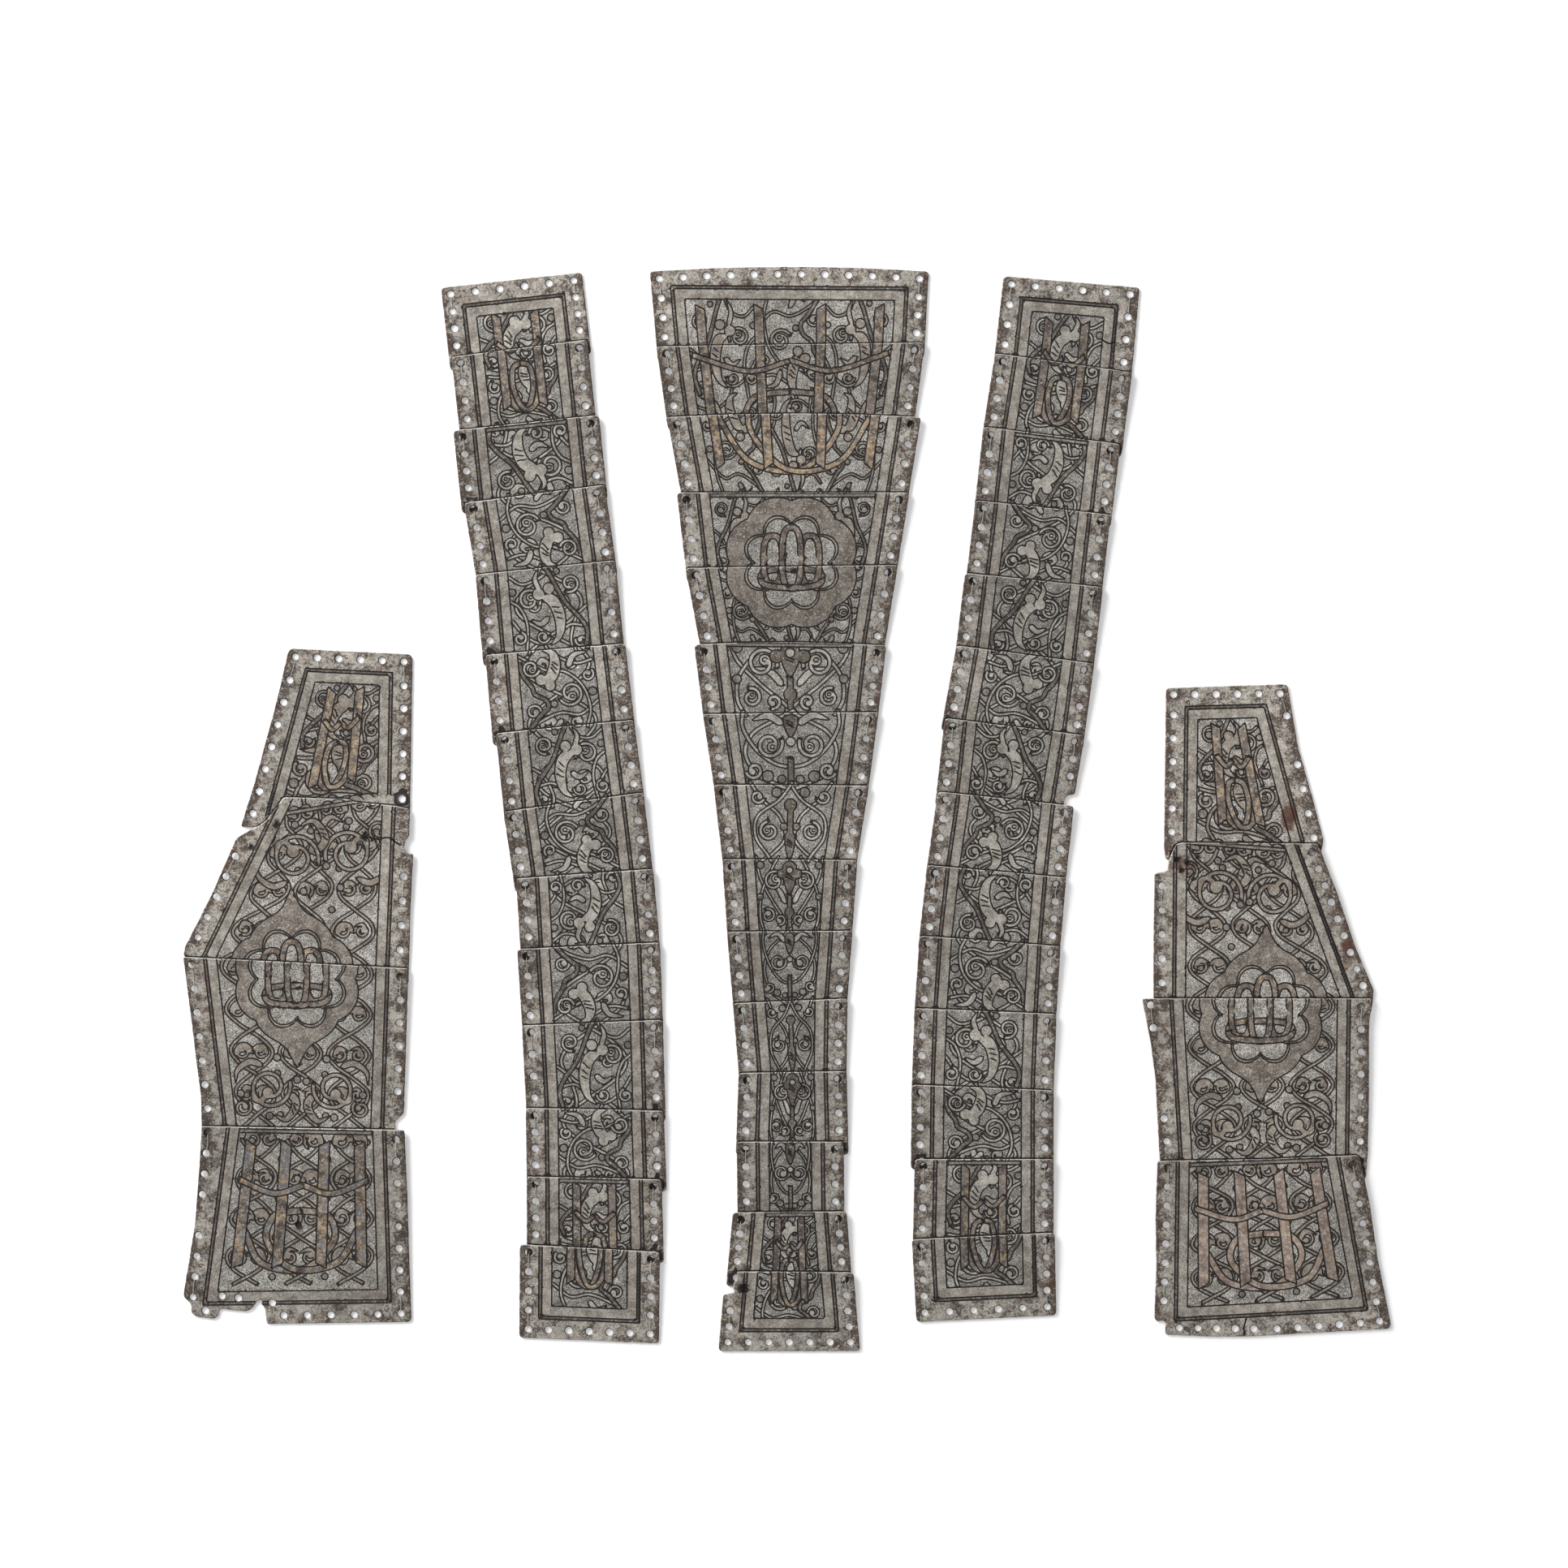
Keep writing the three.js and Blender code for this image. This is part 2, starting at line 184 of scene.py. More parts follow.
class Plate:
    def __init__(self, node):
        self.node = node
        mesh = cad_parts[node].data
        mesh.calc_loop_triangles()
        corners = np.array([v.co[:] for v in mesh.vertices]) / MM
        keys, names = {}, []
        for corner in np.round(corners, 4):
            names.append(keys.setdefault(tuple(corner), len(keys)))
        place = np.array(list(keys))
        tris = np.array([[names[i] for i in t.vertices] for t in mesh.loop_triangles])
        a, b, c = place[tris[:, 0]], place[tris[:, 1]], place[tris[:, 2]]
        across = np.cross(b - a, c - a)
        size = np.linalg.norm(across, axis=1)
        across = across / np.maximum(size, 1e-9)[:, None]
        top = tris[(across[:, 2] > 0.9) & (size > 1e-6)]
        used = np.unique(top)
        flat = np.c_[place[used][:, :2], np.ones(len(used))]
        self.plane = np.linalg.lstsq(flat, place[used][:, 2], rcond=None)[0]
        sides = {(t[i], t[(i + 1) % 3]) for t in top for i in range(3)}
        onward = {a: b for a, b in sides if (b, a) not in sides}
        loops = []
        while onward:
            start, here = onward.popitem()
            loop = [start]
            while here != start:
                loop.append(here)
                here = onward.pop(here)
            loops.append(place[loop][:, :2])
        loops.sort(key=lambda l: np.prod(np.ptp(l, axis=0)))
        self.outline = loops.pop()
        self.holes = [l.mean(0) for l in loops]

    def height(self, points):
        return points @ self.plane[:2] + self.plane[2]

    def cross(self, axis, value):
        """Where the outline crosses a line of constant x (axis 0) or y (axis 1)."""
        p, q = self.outline, np.roll(self.outline, -1, 0)
        hit = (p[:, axis] > value) != (q[:, axis] > value)
        p, q = p[hit], q[hit]
        share = (value - p[:, axis]) / (q[:, axis] - p[:, axis])
        other = 1 - axis
        return p[:, other] + share * (q[:, other] - p[:, other])

    def edge_line(self, shares, pick):
        """The upper or lower edge as (height at x = 0, slope), fitted at these shares across."""
        low, high = self.outline[:, 0].min(), self.outline[:, 0].max()
        xs = low + (high - low) * np.array(shares)
        slope, start = np.polyfit(xs, [pick(self.cross(0, x)) for x in xs], 1)
        return start, slope

    def upper_edge(self):
        return self.edge_line([0.36, 0.5, 0.64, 0.76], np.max)

    def side_lines(self, floor):
        """Each side as (x at y = 0, slope), over the heights that show."""
        top = self.outline[:, 1].max()
        ys = np.linspace(floor + 0.12 * (top - floor), floor + 0.62 * (top - floor), 7)
        lines = []
        for pick in (np.min, np.max):
            xs = np.array([pick(self.cross(1, y)) for y in ys])
            slopes = [(xs[j] - xs[i]) / (ys[j] - ys[i]) for i in range(7) for j in range(i)]
            slope = np.median(slopes)
            lines.append((np.median(xs - slope * ys), slope))
        return lines


def meet(upper, side, inset, drop):
    """Where a line inset from a side crosses a line dropped below an upper edge."""
    start, slope = upper
    x0, lean = side
    shift = inset * math.hypot(1, lean)
    fall = drop * math.hypot(1, slope)
    y = (start - fall + slope * (x0 + shift)) / (1 - slope * lean)
    return np.array([x0 + shift + lean * y, y])


class Layout:
    """Where the border lines and the field of one plate run."""

    def __init__(self, plate, following, first):
        self.first = first
        self.last = following is None
        self.upper = plate.upper_edge()
        self.lower = (plate.edge_line([0.4, 0.55, 0.7, 0.85], np.min) if self.last
                      else following.upper_edge())
        middle = plate.outline[:, 0].mean()
        self.sides = plate.side_lines(self.lower[0] + self.lower[1] * middle)

    def corners(self, inset, drop, rise):
        """The four-sided figure this far in from the sides, below the top and above the foot."""
        left, right = self.sides
        return np.array([
            meet(self.upper, left, inset, drop),
            meet(self.upper, right, -inset, drop),
            meet(self.lower, right, -inset, -rise),
            meet(self.lower, left, inset, -rise),
        ])

    def region(self, inset, end):
        """The same, closed at the ends of the column and running on between plates."""
        return self.corners(inset, end if self.first else -4, end if self.last else -LAP_SHOWN)

    def border(self, inset, end):
        """The engraved lines of one region."""
        a, b, c, d = self.region(inset, end)
        if self.first:
            return [np.array([d, a, b, c])]
        if self.last:
            return [np.array([a, d, c, b])]
        return [np.array([a, d]), np.array([b, c])]

    def place(self, u, s):
        """A place in the field: u from -1 to 1 across, s from 0 at this plate's top to 1."""
        a, b, c, d = self.corners(FIELD_SIDE, 0, 0)
        across = (u + 1) / 2
        upper = a + (b - a) * across
        lower = d + (c - d) * across
        return upper + (lower - upper) * s


# Ornament

class Drawing:
    """Shapes laid one on another. Each hides the outlines of those under it."""

    def __init__(self, layout, index):
        self.layout = layout
        self.index = index
        self.shapes = []
        self.marks = []
        self.layer = 0

    def at(self, u, s):
        return self.layout.place(u, s - self.index)

    def add(self, kind, loops, marks=()):
        self.layer += 1
        self.shapes += [(self.layer, kind, loop) for loop in loops]
        self.marks += [(self.layer, mark) for mark in marks]

    def grooves(self):
        """The parts of all outlines and marks that show, inside the field."""
        field = self.layout.region(FIELD_SIDE, FIELD_END)
        lines = [(layer, k, loop, True) for k, (layer, _, loop) in enumerate(self.shapes)]
        lines += [(layer, None, mark, False) for layer, mark in self.marks]
        found = []
        for layer, own, line, closed in lines:
            shown = inside(line, field)
            if not shown.any():
                continue
            low, high = line.min(0), line.max(0)
            for k, (other, _, loop) in enumerate(self.shapes):
                if k == own or other < layer or (other == layer and own is None):
                    continue
                if (loop.max(0) < low).any() or (loop.min(0) > high).any():
                    continue
                shown &= ~inside(line, loop[::2])
            found += runs_of(line, shown, closed)
        return found

    def kinds(self, points):
        """What each point lies on: the kind of the topmost shape, or 0 for the ground."""
        kinds = np.zeros(len(points), int)
        for _, kind, loop in self.shapes:
            low, high = loop.min(0), loop.max(0)
            near = np.flatnonzero(((points > low) & (points < high)).all(1))
            if len(near):
                hit = near[inside(points[near], loop[::2])]
                kinds[hit] = kind
        return kinds


LIGHT, DARK, GILT, BRONZE, PLAIN = 1, 2, 3, 4, 8
MARGIN, GAP, BAND, GROUND = 0, 5, 6, 7


def runs_of(line, shown, closed):
    """The stretches of a line that show, with fewer points."""
    if shown.all():
        path = np.vstack([line, line[:1]]) if closed else line
        return [thinned(path)]
    if closed:
        start = int(np.flatnonzero(~shown)[0])
        line, shown = np.roll(line, -start, 0), np.roll(shown, -start)
    edges = np.flatnonzero(np.diff(np.r_[False, shown, False].astype(int)))
    return [thinned(line[a:b]) for a, b in zip(edges[::2], edges[1::2]) if b - a > 3]


def thinned(path):
    step = 2 if len(path) < 36 else 3
    keep = list(range(0, len(path) - 1, step)) + [len(path) - 1]
    return path[keep]


def blade(path, width):
    """The outline of a leaf along a path, broad near its root and pointed at its end."""
    t = np.linspace(0, 1, len(path))
    root = np.sqrt(np.clip(t / 0.12, 0.02, 1))
    return ribbon(path, width * root * np.sin(np.pi * (0.3 + 0.7 * t)) ** 0.75 + 0.12)


def curl(centre, radius, start, turns, flip=(1, 1)):
    """A stem that coils in from its start angle, in degrees, and the bud at its end."""
    count = max(12, int(abs(turns) * radius * 14))
    turn = math.radians(start) + np.linspace(0, turns * 2 * math.pi, count)
    reach = radius * np.linspace(1, 0.42, count)
    path = centre + around(turn) * reach[:, None] * flip
    return path, path[-1] + (centre - path[-1]) * 0.35


def eye(centre, radius):
    """The hooked line inside a bud."""
    turn = np.linspace(0.4, 5.0, 22)
    reach = radius * np.linspace(0.5, 0.3, 22)
    return centre + around(turn) * reach[:, None]


def strokes(path, width):
    """Three short lines across the broad part of a leaf."""
    side = normals_of(path)
    marks = []
    for share in (0.3, 0.39, 0.48):
        k = int(share * (len(path) - 1))
        onward = path[min(k + 4, len(path) - 1)]
        marks.append(spline([path[k] - side[k] * width * 0.2, onward + side[k] * width * 0.14], 0.25))
    return marks


def weave(d, chart, box, flip_u=1, flip_s=1):
    """Draws a chart in a box (u from, u to, s from, s to) of the field, mirrored if asked.

    A chart is a list of shapes. Each is its kind and then its parts: (radius, place) is a
    disc, (width, places...) a band, (-width, places...) a leaf with its tip at the end, and
    (width, place, radius, start angle, turns) a curl, with its turns as a decimal.
    """
    u0, u1, s0, s1 = box
    if s1 < d.index - 0.25 or s0 > d.index + 1.25:
        return
    tile = d.at(u1, (s0 + s1) / 2) - d.at(u0, (s0 + s1) / 2)
    scale = min(1.15, max(0.72, np.linalg.norm(tile) / 41))

    def at(place):
        u, s = place
        return d.at(u0 + (u1 - u0) * (1 + u * flip_u) / 2,
                    s0 + (s1 - s0) * (0.5 + (s - 0.5) * flip_s))

    for kind, *parts in chart:
        loops, marks = [], []
        for size, *places in parts:
            if isinstance(places[-1], float):       # only a curl ends in a number
                radius = places[1] * scale
                path, bud = curl(at(places[0]), radius, *places[2:], (flip_u, flip_s))
                loops += [ribbon(path, size * scale * 1.2), circle(bud, 0.3 * radius + 0.5)]
                marks += [eye(bud, 0.3 * radius + 0.5)] if radius > 4.5 else []
                continue
            if len(places) == 1:
                loops.append(circle(at(places[0]), size * scale * 1.06))
                continue
            path = spline([at(place) for place in places])
            if size > 0:
                loops.append(ribbon(path, size * scale * 1.2))
            else:
                loops.append(blade(path, -size * scale))
                if size < -4.5:
                    marks += strokes(path, -size * scale)
        d.add(kind, loops, marks)


# Charts of the ornament, from -1 to 1 across and from 0 to 1 downwards

SCROLL_A = [
    (LIGHT, (1.4, (-0.98, 0.5), (-0.7, 0.62), (-0.5, 0.88), (-0.56, 1.06))),
    (LIGHT, (1.4, (0.98, 0.62), (0.7, 0.8), (0.3, 0.92), (-0.1, 0.88), (-0.5, 0.72), (-0.98, 0.76))),
    (LIGHT, (1.4, (0.1, -0.05), (0.3, 0.13), (0.66, 0.18), (0.98, 0.08))),
    (LIGHT, (1.4, (0.98, 0.38), (0.74, 0.48), (0.6, 0.7), (0.68, 1.06))),
    (LIGHT, (1.4, (-0.6, 0.22), 5.0, 300, -1.2)),
    (LIGHT, (1.4, (0.82, 0.84), 3.6, 90, 1.1)),
    (LIGHT, (1.4, (-0.76, 0.92), 3.4, 30, -1.0)),
    (DARK, (1.9, (0.06, -0.04), (-0.12, 0.12), (-0.24, 0.25), (-0.45, 0.45), (-0.8, 0.66),
            (-0.94, 0.82), (-0.84, 1.04))),
    (LIGHT, (1.5, (0.5, 0.38), 6.2, 210, -1.25)),
    (LIGHT, (-6.4, (0.16, 0.36), (-0.12, 0.42), (-0.26, 0.62), (-0.2, 0.84), (0.04, 0.95)),
     (2.9, (-0.04, 0.26)), (3.1, (0.24, 0.32)), (-2.8, (0.2, 0.28), (0.3, 0.14), (0.2, 0.02))),
    (LIGHT, (-3.2, (0.02, 0.6), (0.24, 0.68), (0.5, 0.62))),
    (LIGHT, (1.3, (0.22, 0.84), 3.6, 160, 1.1)),
    (BRONZE, (1.9, (0.92, 0.27)), (1.6, (-0.28, 0.06))),
]

SCROLL_B = [
    (LIGHT, (1.4, (-0.98, 0.3), (-0.5, 0.14), (0.0, 0.18), (0.5, 0.1), (0.98, -0.04))),
    (LIGHT, (1.4, (-0.6, -0.05), (-0.76, 0.2), (-0.62, 0.5), (-0.2, 0.7), (0.3, 0.74), (0.98, 0.94))),
    (LIGHT, (1.4, (-0.98, 0.84), (-0.5, 0.8), (0.0, 0.92), (0.2, 1.06))),
    (LIGHT, (1.4, (0.7, 0.22), 4.2, 120, 1.15)),
    (LIGHT, (1.4, (-0.78, 0.64), 3.4, 250, -1.0)),
    (DARK, (1.9, (0.9, -0.04), (0.52, 0.17), (0.31, 0.26), (0.37, 0.36), (0.63, 0.44), (0.7, 0.54),
            (0.89, 0.68), (0.98, 0.86))),
    (LIGHT, (1.5, (-0.3, 0.42), 6.8, 20, 1.25)),
    (LIGHT, (-6.4, (0.36, 0.62), (0.16, 0.66), (0.04, 0.82), (0.1, 0.95), (0.34, 1.0)),
     (2.8, (0.22, 0.54)), (2.9, (0.44, 0.62))),
    (LIGHT, (1.4, (0.68, 0.78), 4.8, 180, -1.15)),
    (LIGHT, (-3.2, (-0.28, 0.74), (-0.46, 0.9), (-0.84, 0.94))),
    (LIGHT, (-3.0, (-0.02, 0.1), (0.2, -0.01), (0.44, 0.04))),
    (BRONZE, (2.1, (-0.86, 0.42)), (1.8, (0.16, 0.3))),
]

# Half of each axial chart, which is drawn on both sides of the axis
AXIAL_A = [
    (LIGHT, (1.4, (0.95, -0.05), (0.86, 0.26), (0.5, 0.6), (0.12, 0.86), (-0.1, 1.05))),
    (LIGHT, (1.4, (0.3, -0.05), (0.5, 0.12), (0.84, 0.46), (0.93, 0.8), (0.8, 1.05))),
    (LIGHT, (-3.2, (0.12, 0.62), (0.34, 0.42), (0.66, 0.36))),
    (LIGHT, (1.5, (0.46, 0.3), 7.0, 200, -1.2)),
    (LIGHT, (1.4, (0.68, 0.78), 4.4, 60, 1.1)),
    (LIGHT, (1.4, (0.3, 0.84), 3.4, 300, -1.0)),
    (BRONZE, (2.2, (0.84, 0.08)), (1.9, (0.9, 0.52))),
]
AXIS_A = [
    (DARK, (-8.5, (0, 0.02), (0, 0.24), (0, 0.5)), (2.8, (-0.22, 0.2)), (2.8, (0.22, 0.2))),
    (LIGHT, (2.0, (0, 0.15))),
    (DARK, (2.2, (0, 0.48), (0, 1.05)), (2.8, (0, 0.74))),
]
AXIAL_B = [
    (LIGHT, (1.4, (-0.1, -0.05), (0.3, 0.1), (0.72, 0.28), (0.92, 0.55), (0.76, 0.84), (0.4, 0.97),
             (0.05, 1.06))),
    (LIGHT, (1.4, (0.85, -0.05), (0.9, 0.2), (0.7, 0.5), (0.34, 0.7), (-0.05, 0.76))),
    (LIGHT, (-3.4, (0.14, 0.16), (0.4, 0.04), (0.72, 0.1))),
    (LIGHT, (1.5, (0.42, 0.44), 6.0, 150, 1.2)),
    (LIGHT, (1.4, (0.78, 0.8), 3.8, 0, -1.1)),
    (BRONZE, (2.4, (0.5, 0.88)), (1.8, (0.2, 0.92))),
]
AXIS_B = [
    (DARK, (-6.5, (0, 0.02), (0, 0.16), (0, 0.34))),
    (LIGHT, (2.0, (0, 0.4))),
    (DARK, (2.2, (0, 0.62), (0, 1.05))),
]
AXIAL_C = [
    (LIGHT, (1.4, (0.92, -0.05), (0.66, 0.2), (0.26, 0.42), (0.12, 0.7), (0.42, 0.9), (0.9, 1.05))),
    (LIGHT, (1.4, (-0.05, -0.05), (0.26, 0.2), (0.8, 0.42), (0.9, 0.7), (0.62, 0.94), (0.5, 1.05))),
    (LIGHT, (1.5, (0.54, 0.62), 5.0, 90, -1.2)),
    (LIGHT, (1.4, (0.76, 0.16), 3.6, 180, 1.0)),
    (BRONZE, (2.4, (0.32, 0.1)), (1.8, (0.16, 0.56))),
]
AXIS_C = [
    (DARK, (3.0, (0, 0.27)), (2.4, (0, 0.2), (0, 0.68)), (-5, (0, 0.62), (0, 0.8), (0, 1.02))),
]


def vines(d, low, high, lanes, pitch, radius):
    """Thin vines in opposite waves, with a curl in each bend, that run under the charts."""
    first = max(low, d.index - 0.3)
    last = min(high, d.index + 1.3)
    if first >= last:
        return
    for lane in range(lanes):
        middle, reach = -1 + (2 * lane + 1) / lanes, 0.86 / lanes
        for phase in (0, 1):
            steps = np.linspace(first, last, max(6, int((last - first) * 14)))
            wave = np.cos(np.pi * ((steps - low) / pitch + phase))
            path = spline([d.at(middle + reach * w, s) for w, s in zip(wave, steps)])
            d.add(LIGHT, [ribbon(path, 1.7)])
            for turn in range(int((high - low) / pitch) + 1):
                way = math.cos(math.pi * (turn + phase))
                centre = d.at(middle + reach * way * 0.42, low + turn * pitch)
                if not first - 0.2 < low + turn * pitch < last + 0.2:
                    continue
                vary = (turn * 7 + lane * 3 + phase * 5) % 4
                size = radius * (0.8 + 0.14 * vary)
                path, bud = curl(centre, size, 90 - 60 * way + 70 * vary, (-1.05 - 0.08 * vary) * way)
                leaf = spline([centre + np.array([x * way, y]) * size
                               for x, y in ((0.9, -0.5), (0.2, 1.15 - 0.2 * vary), (-1.3, 0.9 - 0.4 * vary))])
                d.add(LIGHT, [blade(leaf, 2.2 + 0.4 * vary), ribbon(path, 1.6),
                              circle(bud, size * 0.27 + 0.5)])
    for lane in range(1, lanes):
        for k in range(int((high - low) / pitch) + 1):
            place = d.at(-1 + 2 * lane / lanes, low + (k + 0.5) * pitch)
            d.add(BRONZE, [circle(place, 1.7)])


def scrolls(d, low, high, side):
    """The two scroll charts in turn down an inner column, mirrored in turn."""
    for k in range(low, high):
        turn = k - low
        charts = (SCROLL_A, SCROLL_B)[turn % 2]
        weave(d, charts, (-1, 1, k, k + 1), side * (1 if turn % 4 < 2 else -1), 1 if turn % 3 else -1)


def axial(d, low, high):
    for k in range(low, high):
        half, axis = ((AXIAL_A, AXIS_A), (AXIAL_B, AXIS_B), (AXIAL_C, AXIS_C))[(k - low) % 3]
        weave(d, half, (-1, 1, k, k + 1), 1)
        weave(d, half, (-1, 1, k, k + 1), -1)
        weave(d, axis, (-1, 1, k, k + 1))


def tiles(d, across, low, high, rows):
    """The scroll charts repeated over a wide field, mirrored about its axis."""
    for row in range(rows):
        s0 = low + (high - low) * row / rows
        s1 = low + (high - low) * (row + 1) / rows
        for i in range(across):
            box = (-1 + 2 * i / across, -1 + 2 * (i + 1) / across, s0, s1)
            kind = (SCROLL_A, SCROLL_B)[(min(i, across - 1 - i) + row) % 2]
            weave(d, kind, box, 1 if i < across / 2 else -1, -1 if row % 2 else 1)


def strap(d, kind, u, low, high, width, slant=3.0):
    """A tall straight strap with slanted ends."""
    foot, head = d.at(u, high), d.at(u, low)
    along = head - foot
    along = along / np.linalg.norm(along)
    across = np.array([along[1], -along[0]]) * width / 2
    rising, falling = along * slant * (u > 0), along * slant * (u <= 0)
    corners = [foot - across + rising, head - across + falling,
               head + across + rising, foot + across + falling]
    d.add(kind, [closed_spaced(np.array(corners), 0.3)])


def strapwork(d, low, high, straps, width):
    """Tall straps that stand for no letter, tied by two arcs that cross and a bar."""
    if high < d.index - 0.25 or low > d.index + 1.25:
        return
    span = high - low
    outer = max(straps)

    def arcs(points, size):
        for way in (1, -1):
            path = spline([d.at(u * way * outer, low + s * span) for u, s in points])
            d.add(GILT, [ribbon(path, size)])

    arcs([(-0.95, 0.62), (-0.6, 0.86), (0.1, 0.9), (0.55, 0.7), (0.45, 0.52), (0.0, 0.48)], width * 0.62)
    for u in straps:
        strap(d, GILT, u, low + 0.02 * span, high - 0.1 * span, width)
    arcs([(0.0, 0.3), (0.5, 0.36), (1.15, 0.26)], width * 0.55)


def rose(centre, radius, petals, depth, point=0.0):
    """A closed lobed outline, drawn out to a point above and below if asked."""
    turn = full_turn(int(radius * 20))
    reach = radius * (1 - depth * (1 - np.abs(np.sin(petals * turn / 2)) ** 0.8))
    from_axis = np.abs(np.abs(np.sin(turn)) - 1) * 18
    reach = reach * (1 + point * np.exp(-np.sqrt(from_axis + 0.001) * 3.1))
    return centre + around(turn) * reach[:, None]


def medallion(d, u, s, radius, petal, finial=False):
    """A lobed plaque with an eight-petalled panel, and four linked loops in that."""
    centre = d.at(u, s)
    d.add(PLAIN, [rose(centre, radius, 8, 0.09, 0.6 if finial else 0.0)])
    d.add(LIGHT, [rose(centre, petal + 1.6, 8, 0.22)])
    d.add(GROUND, [rose(centre, petal, 8, 0.22)])
    for k in range(4):
        turn = math.pi / 4 + k * math.pi / 2
        tip = centre + around(turn) * petal * 0.74
        d.add(LIGHT, [circle(tip, 2.0)])

    def link(x, y, wide, tall, start):
        """Half of a long round-ended link."""
        turn = np.linspace(start - 0.06, start + math.pi + 0.06, 60)
        bulge = np.abs(around(turn)) ** 0.7 * np.sign(around(turn))
        return ribbon(centre + np.array([x, y]) * petal + bulge * np.array([wide, tall]) * petal, 3.1)

    links = ((-0.4, 0.06, 0.2, 0.52), (0.4, 0.06, 0.2, 0.52), (0, 0.1, 0.2, 0.66), (0, -0.34, 0.66, 0.2))
    d.add(GILT, [link(*links[3], 0)])
    for part in links[:3]:
        d.add(GILT, [link(*part, 0), link(*part, math.pi)])
    d.add(GILT, [link(*links[3], math.pi)])


def rule(d, s):
    """The plain strip with which a zone of the field begins."""
    ends = [d.at(u, s) for u in (-1.05, 1.05)]
    d.add(PLAIN, [ribbon(spline(ends), 1.9)])


def loops_round(d, s, radius, way_up):
    """Two great coils of stem, one each side of the axis, with buds and leaves round them."""
    if not d.index - 0.5 < s < d.index + 1.5:
        return
    for way in (1, -1):
        centre = d.at(way * 0.46, s)
        flip = (way, way_up)

        def near(middle, *places):
            return [middle + (x * way * radius, y * way_up * radius) for x, y in places]

        path, bud = curl(centre, radius, 200, -1.35, flip)
        beside = centre + (way * radius * 1.25, way_up * radius * 0.95)
        small, end = curl(beside, radius * 0.42, 240, -1.1, flip)
        leaf = spline(near(centre, (-0.9, 0.2), (-1.25, 0.8), (-0.8, 1.5), (-0.2, 1.3)))
        spray = spline(near(centre, (0.3, -1.0), (0.9, -1.2), (1.5, -0.8), (1.6, -0.2)))
        inner = spline(near(bud, (0.0, 0.0), (0.3, 0.35), (0.65, 0.3), (0.75, -0.1)))
        d.add(LIGHT, [blade(leaf, 4.2)], strokes(leaf, 4.2))
        d.add(LIGHT, [blade(spray, 3.4), ribbon(small, 1.6), circle(end, 1.7)])
        d.add(LIGHT, [blade(inner, 2.8), ribbon(path, 2.1), circle(bud, radius * 0.27)])
        for place in near(centre, (0.0, 1.35), (-1.3, -0.35), (1.35, 0.3), (-0.35, -1.4)):
            d.add(BRONZE, [circle(place, 1.9)])


def chart(column, d):
    if column == "centre":
        tiles(d, 3, 0.4, 3.0, 2)
        strapwork(d, 0.5, 2.95, (-0.86, -0.3, 0.3, 0.86), 4.8)
        tiles(d, 3, 3.0, 5.0, 2)
        medallion(d, 0, 3.95, 35, 24)
        axial(d, 5, 13)
        tiles(d, 1, 13.0, 14.7, 2)
        strapwork(d, 13.1, 14.55, (-0.45, 0.45), 3.6)
        starts = (3.04, 5.04, 13.05)
    elif column in ("left_inner", "right_inner"):
        tiles(d, 1, 0.4, 2.0, 2)
        strapwork(d, 0.5, 1.96, (-0.5, 0.5), 4.4)
        vines(d, 2.2, 12, 1, 0.75, 3.4)
        scrolls(d, 2, 12, 1 if column == "left_inner" else -1)
        tiles(d, 1, 12.0, 13.65, 2)
        strapwork(d, 12.1, 13.55, (-0.5, 0.5), 4.2)
        starts = (2.05, 12.05)
    else:
        tiles(d, 1, 0.22, 1.0, 2)
        strapwork(d, 0.26, 0.97, (-0.42, 0.42), 4.6)
        vines(d, 1.05, 3.0, 3, 0.25, 3.6)
        loops_round(d, 1.34, 12.5, 1)
        loops_round(d, 2.76, 11.0, -1)
        medallion(d, 0, 2.1, 33, 25, True)
        vines(d, 3.06, 3.8, 3, 0.2, 4.2)
        strapwork(d, 3.08, 3.79, (-0.8, -0.28, 0.28, 0.8), 5.6)
        starts = (1.03, 3.02)
    for start in starts:
        if d.index < start < d.index + 1:
            rule(d, start)


# The fine mesh of one plate

def worn(outline, seed):
    """The outline with short edges, rounded corners and slight wear."""
    loop = closed_spaced(outline, 0.9)
    for _ in range(2):
        loop = 0.5 * loop + 0.25 * (np.roll(loop, 1, 0) + np.roll(loop, -1, 0))
    wear = [noise.noise(Vector((x * 0.35, y * 0.35, seed))) + 0.5 * noise.noise(Vector((x, y, seed)))
            for x, y in loop]
    return loop + normals_of(loop, True) * (0.1 + 0.16 * np.array(wear))[:, None]


def far_from(tree, points, gap):
    return np.array([tree.find((x, y, 0))[2] > gap for x, y in points], bool)


def triangles_of(points, edges):
    vectors = [Vector(p) for p in points.tolist()]
    places, _, faces, sources, _, _ = delaunay_2d_cdt(vectors, edges, [], 0, 1e-5, True)
    places = np.array([v[:] for v in places])
    faces = np.array(faces)
    a, b, c = places[faces[:, 0]], places[faces[:, 1]], places[faces[:, 2]]
    area = (b[:, 0] - a[:, 0]) * (c[:, 1] - a[:, 1]) - (b[:, 1] - a[:, 1]) * (c[:, 0] - a[:, 0])
    faces[area < 0] = faces[area < 0][:, ::-1]
    return places, faces[np.abs(area) > 1e-9], sources


def in_metal(centres, outline, rims, reach):
    """Which places lie inside the outline and in none of the holes."""
    solid = inside(centres, outline)
    for rim in rims:
        near = np.flatnonzero(np.hypot(*(centres - rim.mean(0)).T) < reach)
        solid[near] &= ~inside(centres[near], rim)
    return solid


